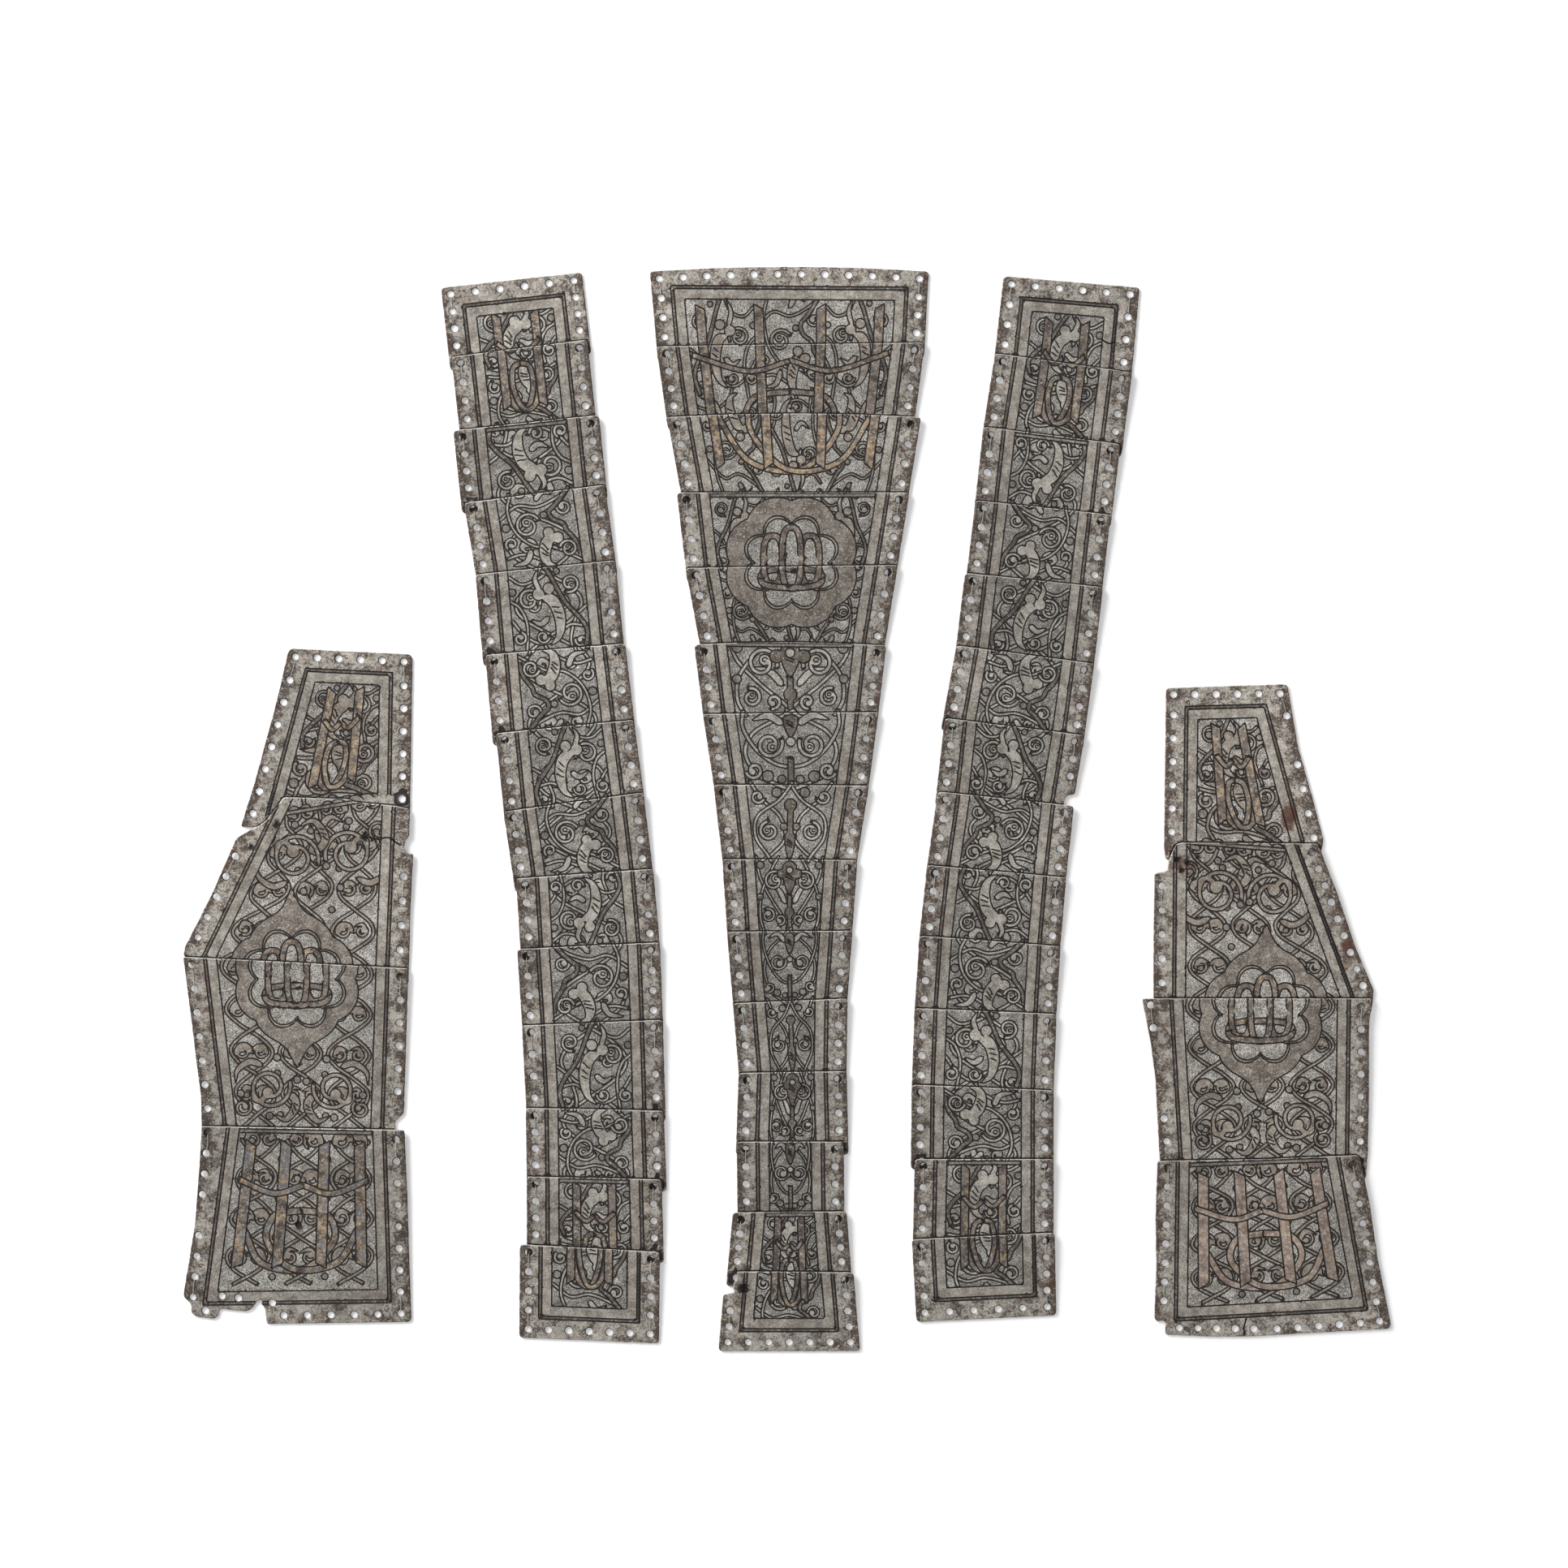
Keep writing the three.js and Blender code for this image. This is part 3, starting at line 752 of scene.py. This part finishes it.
class Top:
    """Points and fixed edges for the upper face, with each point's depth and marks."""

    def __init__(self):
        self.points = []
        self.edges = []
        self.depth = []
        self.groove_and_shade = []
        self.rim = []

    def add(self, path, depth, groove_and_shade=0.0, rim=0.0, closed=None):
        start = len(self.points)
        self.points += list(path)
        self.depth += [depth] * len(path)
        self.groove_and_shade += [groove_and_shade] * len(path)
        self.rim += [rim] * len(path)
        if closed is not None:
            last = len(path) if closed else len(path) - 1
            self.edges += [(start + i, start + (i + 1) % len(path)) for i in range(last)]
        return np.arange(start, len(self.points))


def plate_object(plate, following, layout, drawing, seed):
    outline = worn(plate.outline, seed)
    rims = []
    for centre in plate.holes:
        radius = HOLE_RADIUS * (1 + 0.04 * rng.normal())
        rims.append(centre + radius * around(full_turn(18)))
    top = Top()
    rings = [top.add(outline, 0.28, rim=1.0, closed=True)]
    # The rim mask carries a painted highlight along the outline: in full where an edge faces up, toward the
    # key light, and a quarter of it elsewhere.
    facing = np.clip(-normals_of(outline, True)[:, 1], 0.3, 1)
    top.rim[:] = list(np.where(facing > 0.75, 1.0, 0.25))
    # A dark ring round each hole's edge is painted shade in the hole. A hole under the next plate is painted
    # fully dark, with a wider dark ring round it, as the shade seen through the hole above.
    for centre, rim in zip(plate.holes, rims):
        buried = not layout.last and centre[1] < layout.lower[0] + layout.lower[1] * centre[0]
        rings.append(top.add(rim, 0.4, groove_and_shade=1.0 if buried else 0.25, closed=True))
        if buried:
            top.add(centre + (rim - centre) * 1.5, 0.02, groove_and_shade=1.0)
    shrunk = outline + normals_of(outline, True) * RIM * 1.3

    creases = [(path, LINE_DEPTH) for path in drawing.grooves() if len(path) > 1]
    for inset in (*DOUBLE_LINE, FIELD_SIDE):
        end = FIELD_END if inset == FIELD_SIDE else inset
        for line in layout.border(inset, end):
            path = np.vstack([spline(pair, 0.3) for pair in zip(line, line[1:])])
            for part in runs_of(path, inside(path, shrunk), False):
                creases.append((part[::2] if len(part) > 8 else part, LINE_DEPTH))
    # A shallow groove just above the next plate's edge, painted dark with the line colour as the shade in the
    # joint between the plates.
    if following is not None:
        low, high = following.outline[:, 0].min(), following.outline[:, 0].max()
        xs = np.arange(low + 1.3, high - 1.3, 0.5)
        path = np.array([(x, following.cross(0, x).max() + JOINT_SHADE_OFFSET) for x in xs])
        for part in runs_of(path, inside(path, shrunk), False):
            creases.append((part, JOINT_SHADE_DEPTH))

    for crack in CRACKS:
        path = spline(crack, 0.5)
        path = path + rng.uniform(-0.15, 0.15, path.shape)
        if inside(path, shrunk).all():
            creases.append((path, 0.6))
    pits = [pit for pit in PITS if inside(np.array([pit[:2]]), shrunk)[0]]

    tree = kdtree.KDTree(sum(3 * len(path) for path, _ in creases) + sum(len(r) for r in rings))
    taken = np.array(top.points)
    for k, (x, y) in enumerate(taken):
        tree.insert((x, y, 0), k)
    for path, _ in creases:
        fine = np.vstack([path, (2 * path[1:] + path[:-1]) / 3, (path[1:] + 2 * path[:-1]) / 3])
        for x, y in fine:
            tree.insert((x, y, 0), 0)
    tree.balance()
    flanks = [outline + normals_of(outline, True) * RIM]
    flanks += [rim - normals_of(rim, True) * RIM * 1.2 for rim in rims]
    for path, depth in creases:
        top.add(path, depth, groove_and_shade=1.0, closed=False)
        side = normals_of(path) * LINE_WIDTH
        flanks += [path + side, path - side]
    flanks = np.vstack(flanks)
    flanks = flanks[far_from(tree, flanks, LINE_WIDTH * 0.8)]
    low, high = outline.min(0), outline.max(0)
    xs, ys = (np.arange(low[k], high[k], GRID_PITCH) for k in (0, 1))
    grid = np.array([(x, y) for x in xs for y in ys]) + rng.uniform(-0.8, 0.8, (len(xs) * len(ys), 2))
    grid = grid[inside(grid, shrunk)]
    grid = grid[far_from(tree, grid, 0.9)]
    top.add(flanks, 0.0)
    top.add(grid, 0.0)
    # Each pit is painted dark with the line colour from its rim inward, as painted shade in the hollow.
    for x, y, radius, deep in pits:
        shape = around(full_turn(14)) * rng.uniform(0.8, 1.15, (14, 1))
        for share, part in ((0.9, 0.55), (0.6, 0.95), (0.3, 1.0)):
            top.add((x, y) + shape * radius * share, deep * part, groove_and_shade=0.12 + 0.3 * part)

    points = np.array(top.points)
    places, faces, sources = triangles_of(points, top.edges)
    depth, groove_and_shade, rim = np.array(top.depth), np.array(top.groove_and_shade), np.array(top.rim)
    out_depth, out_groove_and_shade, out_rim = (np.full(len(places), v) for v in (LINE_DEPTH, 1.0, 0.0))
    where = np.full(len(points), -1)
    for k, source in enumerate(sources):
        if source:
            ids = list(source)
            out_depth[k], out_groove_and_shade[k] = depth[ids].max(), groove_and_shade[ids].max()
            out_rim[k] = rim[ids].max()
            where[ids] = k
    centres = places[faces].mean(1)
    solid = in_metal(centres, outline, rims, HOLE_RADIUS * 1.3)
    faces, centres = faces[solid], centres[solid]

    loops = [places[where[r]] for r in rings]
    under_points = np.vstack(loops)
    starts = np.cumsum([0] + [len(l) for l in loops])
    under_edges = [(int(s + i), int(s + (i + 1) % len(l)))
                   for s, l in zip(starts, loops) for i in range(len(l))]
    under_places, under_faces, under_sources = triangles_of(under_points, under_edges)
    under_where = np.full(len(under_points), -1)
    for k, source in enumerate(under_sources):
        under_where[list(source)] = k
    under_centres = under_places[under_faces].mean(1)
    solid = in_metal(under_centres, outline, rims, HOLE_RADIUS)
    under_faces = under_faces[solid][:, ::-1]

    wave = np.array([noise.noise(Vector((x / 13, y / 13, seed))) for x, y in places])
    z = plate.height(places) - out_depth - 0.07 * (1 + wave) * (1 - out_rim)
    top_3d = np.c_[places, z]
    under_3d = np.c_[under_places, plate.height(under_places) - THICKNESS]
    base = len(top_3d)
    walls = []
    for k, (ring_ids, start) in enumerate(zip(rings, starts)):
        upper = where[ring_ids]
        lower = under_where[start:start + len(ring_ids)] + base
        for i in range(len(ring_ids)):
            j = (i + 1) % len(ring_ids)
            wall = (upper[i], lower[i], lower[j], upper[j])
            walls.append(wall if k == 0 else wall[::-1])
    kinds = np.zeros(len(faces), int)
    for code, inset in ((GAP, DOUBLE_LINE[0]), (BAND, DOUBLE_LINE[1]), (GROUND, FIELD_SIDE)):
        end = FIELD_END if inset == FIELD_SIDE else inset
        kinds[inside(centres, layout.region(inset, end))] = code
    shapes = drawing.kinds(centres)
    kinds = np.where((kinds == GROUND) & (shapes > 0), shapes, kinds)

    all_places = np.vstack([top_3d, under_3d]) * MM
    all_faces = faces.tolist() + (under_faces + base).tolist() + [tuple(int(i) for i in w) for w in walls]
    used = np.unique(np.concatenate([faces.ravel(), (under_faces + base).ravel(), np.array(walls).ravel()]))
    renumber = np.full(len(all_places), -1)
    renumber[used] = np.arange(len(used))
    mesh = bpy.data.meshes.new(plate.node + "_engraved")
    mesh.from_pydata(all_places[used].tolist(), [], [[int(renumber[i]) for i in f] for f in all_faces])
    face_kinds = np.r_[kinds, np.zeros(len(under_faces) + len(walls), int)]
    brown = 0.9 if "outer" in plate.node else 0.7 if drawing.index < 5 and "centre" in plate.node else 0.0
    traits = {"pale": float(plate.node == "right_outer_plate_04"),
              "blue": float(plate.node == "left_outer_plate_04"),
              "brown": brown,
              "gold": GOLD.get(plate.node, 0.3),
              "cleaner": CLEANER.get(plate.node, 0.0),
              "highlight_above": plate.outline[:, 1].max() - TOP_HIGHLIGHT}
    edge = np.max([np.exp(-np.abs(top_3d[:, 0] - x0 - lean * top_3d[:, 1]) / 2.6)
                   for x0, lean in layout.sides], 0)
    edge = np.r_[edge, np.ones(len(under_3d))][used]
    add_attributes(mesh, face_kinds, edge, np.r_[out_groove_and_shade, np.zeros(len(under_3d))][used],
                   np.r_[out_rim, np.zeros(len(under_3d))][used], all_places[used] / MM, traits, seed)
    mesh.shade_smooth()
    mesh.set_sharp_from_angle(angle=math.radians(24))
    return placed(plate.node + "_engraved", mesh)


def add_attributes(mesh, kinds, edge, groove_and_shade, rim, places, traits, seed):
    """Gives the material its masks: the kinds by face, and the rest by point."""
    shares = {"motif": {LIGHT: 1.0}, "stem": {DARK: 1.0, BRONZE: 0.6}, "gilt": {GILT: 1.0},
              "ground": {GROUND: 1.0, PLAIN: 0.6}, "plaque": {PLAIN: 1.0}, "gap": {GAP: 0.85},
              "margin": {MARGIN: 1.0, GAP: 0.8}}
    for name, share in shares.items():
        values = sum((kinds == kind) * part for kind, part in share.items()).astype(np.float32)
        mesh.attributes.new(name, "FLOAT", "FACE").data.foreach_set("value", values)
    stain = np.zeros(len(places))
    for x, y, wide, tall, strength in STAINS:
        away = np.hypot((places[:, 0] - x) / wide, (places[:, 1] - y) / tall)
        stain = np.maximum(stain, strength * np.clip(1.4 - away, 0, 1))
    constant = np.ones(len(places))
    tint = (seed * GOLDEN) % 1.0 + traits["cleaner"]
    # Two of these masks carry painted light: the rim and its strength, stronger near the top of the plate,
    # set a painted edge highlight, and the dark line mask also puts painted shade at the joints, hole edges
    # and pits.
    masks = {"groove_and_shade": groove_and_shade, "rim": rim, "stain": stain, "tint": constant * tint,
             "highlight_strength": np.where(places[:, 1] > traits["highlight_above"], 0.85, 0.35),
             "edge": edge, **{name: constant * traits[name] for name in ("pale", "blue", "brown", "gold")}}
    for name, values in masks.items():
        mesh.attributes.new(name, "FLOAT", "POINT").data.foreach_set("value", values.astype(np.float32))


# Materials

class Nodes:
    """Short ways to add shader nodes."""

    def __init__(self, name):
        self.material = bpy.data.materials.new(name)
        self.material.use_nodes = True
        self.tree = self.material.node_tree
        self.shader = self.tree.nodes["Principled BSDF"]
        self.where = self.new("ShaderNodeTexCoord").outputs["Object"]

    def new(self, kind, **values):
        node = self.tree.nodes.new(kind)
        for key, value in values.items():
            setattr(node, key, value)
        return node

    def link(self, source, target):
        self.tree.links.new(source, target)

    def feed(self, target, value):
        if isinstance(value, (int, float)):
            target.default_value = value
        elif isinstance(value, tuple):
            target.default_value = (*value, 1.0) if len(value) == 3 and target.type == "RGBA" else value
        else:
            self.link(value, target)

    def attribute(self, name):
        return self.new("ShaderNodeAttribute", attribute_name=name).outputs["Fac"]

    def noise(self, scale, detail=4.0, roughness=0.6):
        node = self.new("ShaderNodeTexNoise")
        node.inputs["Scale"].default_value = scale
        node.inputs["Detail"].default_value = detail
        node.inputs["Roughness"].default_value = roughness
        self.link(self.where, node.inputs["Vector"])
        return node.outputs["Fac"]

    def math(self, operation, a, b=0.0, clamp=False):
        node = self.new("ShaderNodeMath", operation=operation, use_clamp=clamp)
        self.feed(node.inputs[0], a)
        self.feed(node.inputs[1], b)
        return node.outputs[0]

    def times(self, a, b):
        return self.math("MULTIPLY", a, b)

    def plus(self, a, b):
        return self.math("ADD", a, b)

    def ramp(self, value, low, high, to_low=0.0, to_high=1.0):
        node = self.new("ShaderNodeMapRange")
        for k, v in enumerate((value, low, high, to_low, to_high)):
            self.feed(node.inputs[k], v)
        return node.outputs[0]

    def mix(self, share, a, b, blend="MIX"):
        node = self.new("ShaderNodeMix", data_type="RGBA", blend_type=blend)
        self.feed(node.inputs["Factor"], share)
        self.feed(node.inputs[6], a)
        self.feed(node.inputs[7], b)
        return node.outputs[2]

    def bump(self, height, strength, distance):
        node = self.new("ShaderNodeBump")
        node.inputs["Strength"].default_value = strength
        node.inputs["Distance"].default_value = distance
        self.link(height, node.inputs["Height"])
        return node.outputs["Normal"]


def steel():
    n = Nodes("engraved steel")
    speck = n.noise(420, 6, 0.72)
    tint, ground, margin, motif, stem_dark, plaque, gilt, groove_and_shade, rim = map(
        n.attribute, ("tint", "ground", "margin", "motif", "stem", "plaque", "gilt", "groove_and_shade", "rim"))

    cloud = n.noise(22, 3, 0.5)
    grain = n.noise(1100, 3, 0.75)
    cluster = n.ramp(n.noise(95, 4, 0.6), 0.38, 0.62)

    fine = n.plus(n.times(speck, 0.55), n.times(grain, 0.45))
    mottle = n.plus(n.times(n.noise(165, 6, 0.7), 0.55), n.times(speck, 0.45))
    patches = n.ramp(mottle, 0.47, 0.53)
    worn_edge = n.times(n.attribute("edge"), 0.12)
    margin_patches = n.ramp(n.math("SUBTRACT", mottle, worn_edge), 0.45, 0.5)
    plain = n.mix(patches, (0.3, 0.26, 0.22), (0.5, 0.465, 0.41))
    light_motif = n.mix(patches, (0.35, 0.325, 0.28), (0.6, 0.565, 0.5))
    brown_motif = n.mix(patches, (0.22, 0.175, 0.14), (0.38, 0.325, 0.27))
    ground_grey = n.mix(patches, (0.3, 0.285, 0.26), (0.52, 0.5, 0.465))
    ground_bright = n.mix(patches, (0.4, 0.375, 0.335), (0.68, 0.65, 0.6))
    brown = n.attribute("brown")
    colour = n.mix(ground, plain, n.mix(brown, ground_grey, ground_bright))
    colour = n.mix(motif, colour, n.mix(brown, light_motif, brown_motif))
    colour = n.mix(margin, colour, n.mix(margin_patches, (0.105, 0.076, 0.06), (0.54, 0.5, 0.44)))
    colour = n.mix(plaque, colour, n.mix(patches, (0.2, 0.165, 0.135), (0.4, 0.355, 0.305)))
    colour = n.mix(n.attribute("gap"), colour, (0.1, 0.078, 0.062))
    dark = n.mix(patches, (0.1, 0.078, 0.062), (0.21, 0.18, 0.15))
    colour = n.mix(stem_dark, colour, dark)
    streak = n.noise(150, 5, 0.7)
    strap_dark = n.mix(n.ramp(streak, 0.42, 0.56), (0.1, 0.08, 0.07), (0.27, 0.225, 0.19))
    strap_pale = n.mix(n.ramp(streak, 0.42, 0.56), (0.26, 0.2, 0.17), (0.45, 0.36, 0.3))
    colour = n.mix(gilt, colour, n.mix(n.attribute("pale"), strap_dark, strap_pale))
    gilding = n.plus(n.noise(260, 5, 0.75), n.times(n.attribute("gold"), 0.12))
    traces = n.times(gilt, n.ramp(gilding, 0.58, 0.66))
    colour = n.mix(n.times(traces, 0.85), colour, (0.52, 0.375, 0.225))
    blue = n.times(n.times(gilt, n.attribute("blue")), n.ramp(streak, 0.5, 0.6))
    colour = n.mix(n.times(blue, 0.7), colour, (0.17, 0.2, 0.24))

    dots = n.new("ShaderNodeTexVoronoi", feature="F1")
    dots.inputs["Scale"].default_value = 1500
    n.link(n.where, dots.inputs["Vector"])
    dot = n.times(ground, n.ramp(dots.outputs["Distance"], 0.52, 0.3))
    colour = n.mix(n.times(dot, 0.9), colour, (0.05, 0.04, 0.034))

    spots = n.ramp(fine, 0.5, 0.55)
    soil = n.times(spots, n.plus(n.times(cluster, 0.6), 0.4))
    soil_share = n.plus(0.52, n.times(margin, 0.3))
    colour = n.mix(n.times(soil, soil_share), colour, (0.055, 0.04, 0.031))
    worn_bright = n.ramp(fine, 0.47, 0.4)
    colour = n.mix(n.times(worn_bright, 0.5), colour, (0.86, 0.82, 0.74))
    rust_share = n.plus(n.times(margin, 0.55), n.times(n.attribute("stain"), 1.2))
    rust_from = n.math("SUBTRACT", 0.57, n.times(rust_share, 0.08))
    rust_spots = n.ramp(n.noise(120, 6, 0.72), rust_from, 0.68)
    rust = n.math("MULTIPLY", rust_spots, rust_share, clamp=True)
    colour = n.mix(n.times(rust, 0.85), colour, (0.12, 0.058, 0.034))
    crust = n.plus(n.attribute("stain"), n.times(n.math("SUBTRACT", mottle, 0.5), 2.2))
    colour = n.mix(n.times(n.ramp(crust, 0.55, 0.85), 0.9), colour, (0.105, 0.038, 0.025))
    shade = n.plus(n.ramp(cloud, 0.3, 0.7, 0.6, 0.86), n.times(tint, 0.14))
    toned = n.new("ShaderNodeVectorMath", operation="SCALE")
    n.link(colour, toned.inputs[0])
    n.link(shade, toned.inputs["Scale"])
    colour = toned.outputs[0]
    # The near-black line colour goes on the engraved lines and cracks, and also as painted shade on the joint
    # lines, the hole edges and the pits.
    line = n.ramp(groove_and_shade, 0.02, 0.26)
    colour = n.mix(n.times(line, 0.97), colour, (0.012, 0.009, 0.008))
    # Painted highlight: bright steel on the rims, mostly on edges that face up and on the upper part of each
    # plate, broken up by grain.
    edge_highlight = n.times(n.ramp(rim, 0.2, 0.7), n.ramp(grain, 0.4, 0.6, 0.4, 0.9))
    colour = n.mix(n.times(edge_highlight, n.attribute("highlight_strength")), colour, (0.74, 0.73, 0.7))
    n.link(colour, n.shader.inputs["Base Color"])
    n.link(n.ramp(speck, 0.3, 0.7, 0.48, 0.74), n.shader.inputs["Roughness"])
    n.shader.inputs["Metallic"].default_value = 0.4

    relief = n.math("SUBTRACT", n.times(speck, 0.6), n.times(dot, 0.5))
    relief = n.plus(relief, n.times(grain, 0.3))
    n.link(n.bump(relief, 0.6, 0.0003), n.shader.inputs["Normal"])
    return n.material


def thread():
    n = Nodes("tie thread")
    fibre = n.noise(2600, 3, 0.5)
    n.link(n.mix(fibre, (0.24, 0.225, 0.2), (0.5, 0.48, 0.44)), n.shader.inputs["Base Color"])
    n.shader.inputs["Roughness"].default_value = 0.7
    n.link(n.bump(fibre, 0.4, 0.0001), n.shader.inputs["Normal"])
    return n.material


# Ties

def tube(path, radius, sides=6):
    """Places and faces of a closed round tube along a path in space."""
    path = np.array(path, float)
    along = np.gradient(path, axis=0)
    along /= np.linalg.norm(along, axis=1)[:, None]
    first = np.cross(along, (0.3, 0.2, 1.0))
    first /= np.linalg.norm(first, axis=1)[:, None]
    second = np.cross(along, first)
    turn = full_turn(sides)
    ring_shape = first[:, None] * np.cos(turn)[:, None] + second[:, None] * np.sin(turn)[:, None]
    places = (path[:, None] + radius * ring_shape).reshape(-1, 3)
    faces = []
    for k in range(len(path) - 1):
        for i in range(sides):
            j = (i + 1) % sides
            faces.append((k * sides + i, k * sides + j, (k + 1) * sides + j, (k + 1) * sides + i))
    faces.append(tuple(range(sides))[::-1])
    faces.append(tuple((len(path) - 1) * sides + i for i in range(sides)))
    return places, faces


def corner_pairs(plate, layout):
    """Each corner hole and the next one down that side."""
    middle = plate.outline[:, 0].mean()
    pairs = []
    for way in (-1, 1):
        side = [h for h in plate.holes if (h[0] - middle) * way > 0]
        x0, lean = layout.sides[0 if way < 0 else 1]
        inset = [way * (h[0] - (x0 + lean * h[1])) for h in side]
        side = [h for h, gap in zip(side, inset) if gap > -8]
        side.sort(key=lambda h: -h[1])
        if len(side) > 1:
            pairs.append((side[0], side[1]))
        if layout.last and len(side) > 3:
            pairs.append((side[-2], side[-1]))
    return pairs


def ties(column, plates, layouts):
    places, faces = [], []
    for plate, layout in zip(plates, layouts):
        for upper, lower in corner_pairs(plate, layout):
            along = (lower - upper) / np.linalg.norm(lower - upper)
            a, b = upper + along * 0.9, lower - along * 0.9
            sway = np.array([-along[1], along[0]]) * rng.uniform(-0.4, 0.4)
            stops = [(a, -0.9), (a + along * 0.35, 0.1), (a + along * 1.0, 0.42),
                     ((a + b) / 2 + sway, 0.36), (b - along * 1.0, 0.42), (b - along * 0.35, 0.1), (b, -0.9)]
            path = [(*p, plate.height(np.array([p]))[0] + rise) for p, rise in stops]
            tube_places, tube_faces = tube(spline(path, count=TIE_STEPS), TIE_RADIUS)
            start = sum(len(p) for p in places)
            places.append(tube_places)
            faces += [tuple(start + i for i in f) for f in tube_faces]
    mesh = bpy.data.meshes.new(column + "_ties")
    mesh.from_pydata((np.vstack(places) * MM).tolist(), [], faces)
    mesh.shade_smooth()
    return placed(column + "_ties", mesh)


# The armour

steel_material = steel()
thread_material = thread()
seed = 0
for column, count in COLUMNS.items():
    plates = [Plate(f"{column}_plate_{k + 1:02d}") for k in range(count)]
    layouts = [Layout(plate, plates[k + 1] if k + 1 < count else None, k == 0)
               for k, plate in enumerate(plates)]
    for index, (plate, layout) in enumerate(zip(plates, layouts)):
        seed += 1
        drawing = Drawing(layout, index)
        chart(column, drawing)
        following = plates[index + 1] if index + 1 < count else None
        obj = plate_object(plate, following, layout, drawing, seed)
        obj.data.materials.append(steel_material)
        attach(obj, "root")
        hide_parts(plate.node)
    obj = ties(column, plates, layouts)
    obj.data.materials.append(thread_material)
    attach(obj, "root")

# Stage, light and camera

VIEW_WIDTH = 0.811        # what the picture spans, in metres
VIEW_CENTRE = (-0.0017, 0.0128)
LENS = 120.0


def floor_material():
    n = Nodes("pale floor")
    n.link(n.mix(n.noise(3, 2), (0.9, 0.9, 0.9), (0.93, 0.93, 0.93)), n.shader.inputs["Base Color"])
    n.shader.inputs["Roughness"].default_value = 0.9
    n.shader.inputs["Specular IOR Level"].default_value = 0.1
    n.shader.inputs["Emission Color"].default_value = (1.0, 1.0, 1.0, 1.0)
    n.shader.inputs["Emission Strength"].default_value = 0.22
    return n.material


bpy.ops.mesh.primitive_plane_add(size=8, location=(0, 0, -0.0002))
floor = bpy.context.object
floor.name = "floor"
floor.data.materials.append(floor_material())

world = bpy.data.worlds.new("studio")
bpy.context.scene.world = world
world.use_nodes = True
world.node_tree.nodes["Background"].inputs["Color"].default_value = (1.0, 1.0, 1.0, 1.0)
world.node_tree.nodes["Background"].inputs["Strength"].default_value = 0.47


def area_light(name, place, size, power):
    data = bpy.data.lights.new(name, "AREA")
    data.size = size
    data.energy = power
    lamp = placed(name, data)
    lamp.location = place
    lamp.rotation_euler = (-Vector(place)).to_track_quat("-Z", "Y").to_euler()


area_light("key", (-2.0, 1.6, 1.3), 1.6, 124)

camera_data = bpy.data.cameras.new("camera")
camera_data.lens = LENS
camera_data.clip_end = 20
camera = placed("camera", camera_data)
camera.location = (*VIEW_CENTRE, VIEW_WIDTH * LENS / camera_data.sensor_width)
bpy.context.scene.camera = camera
bpy.context.scene.view_settings.view_transform = "Standard"
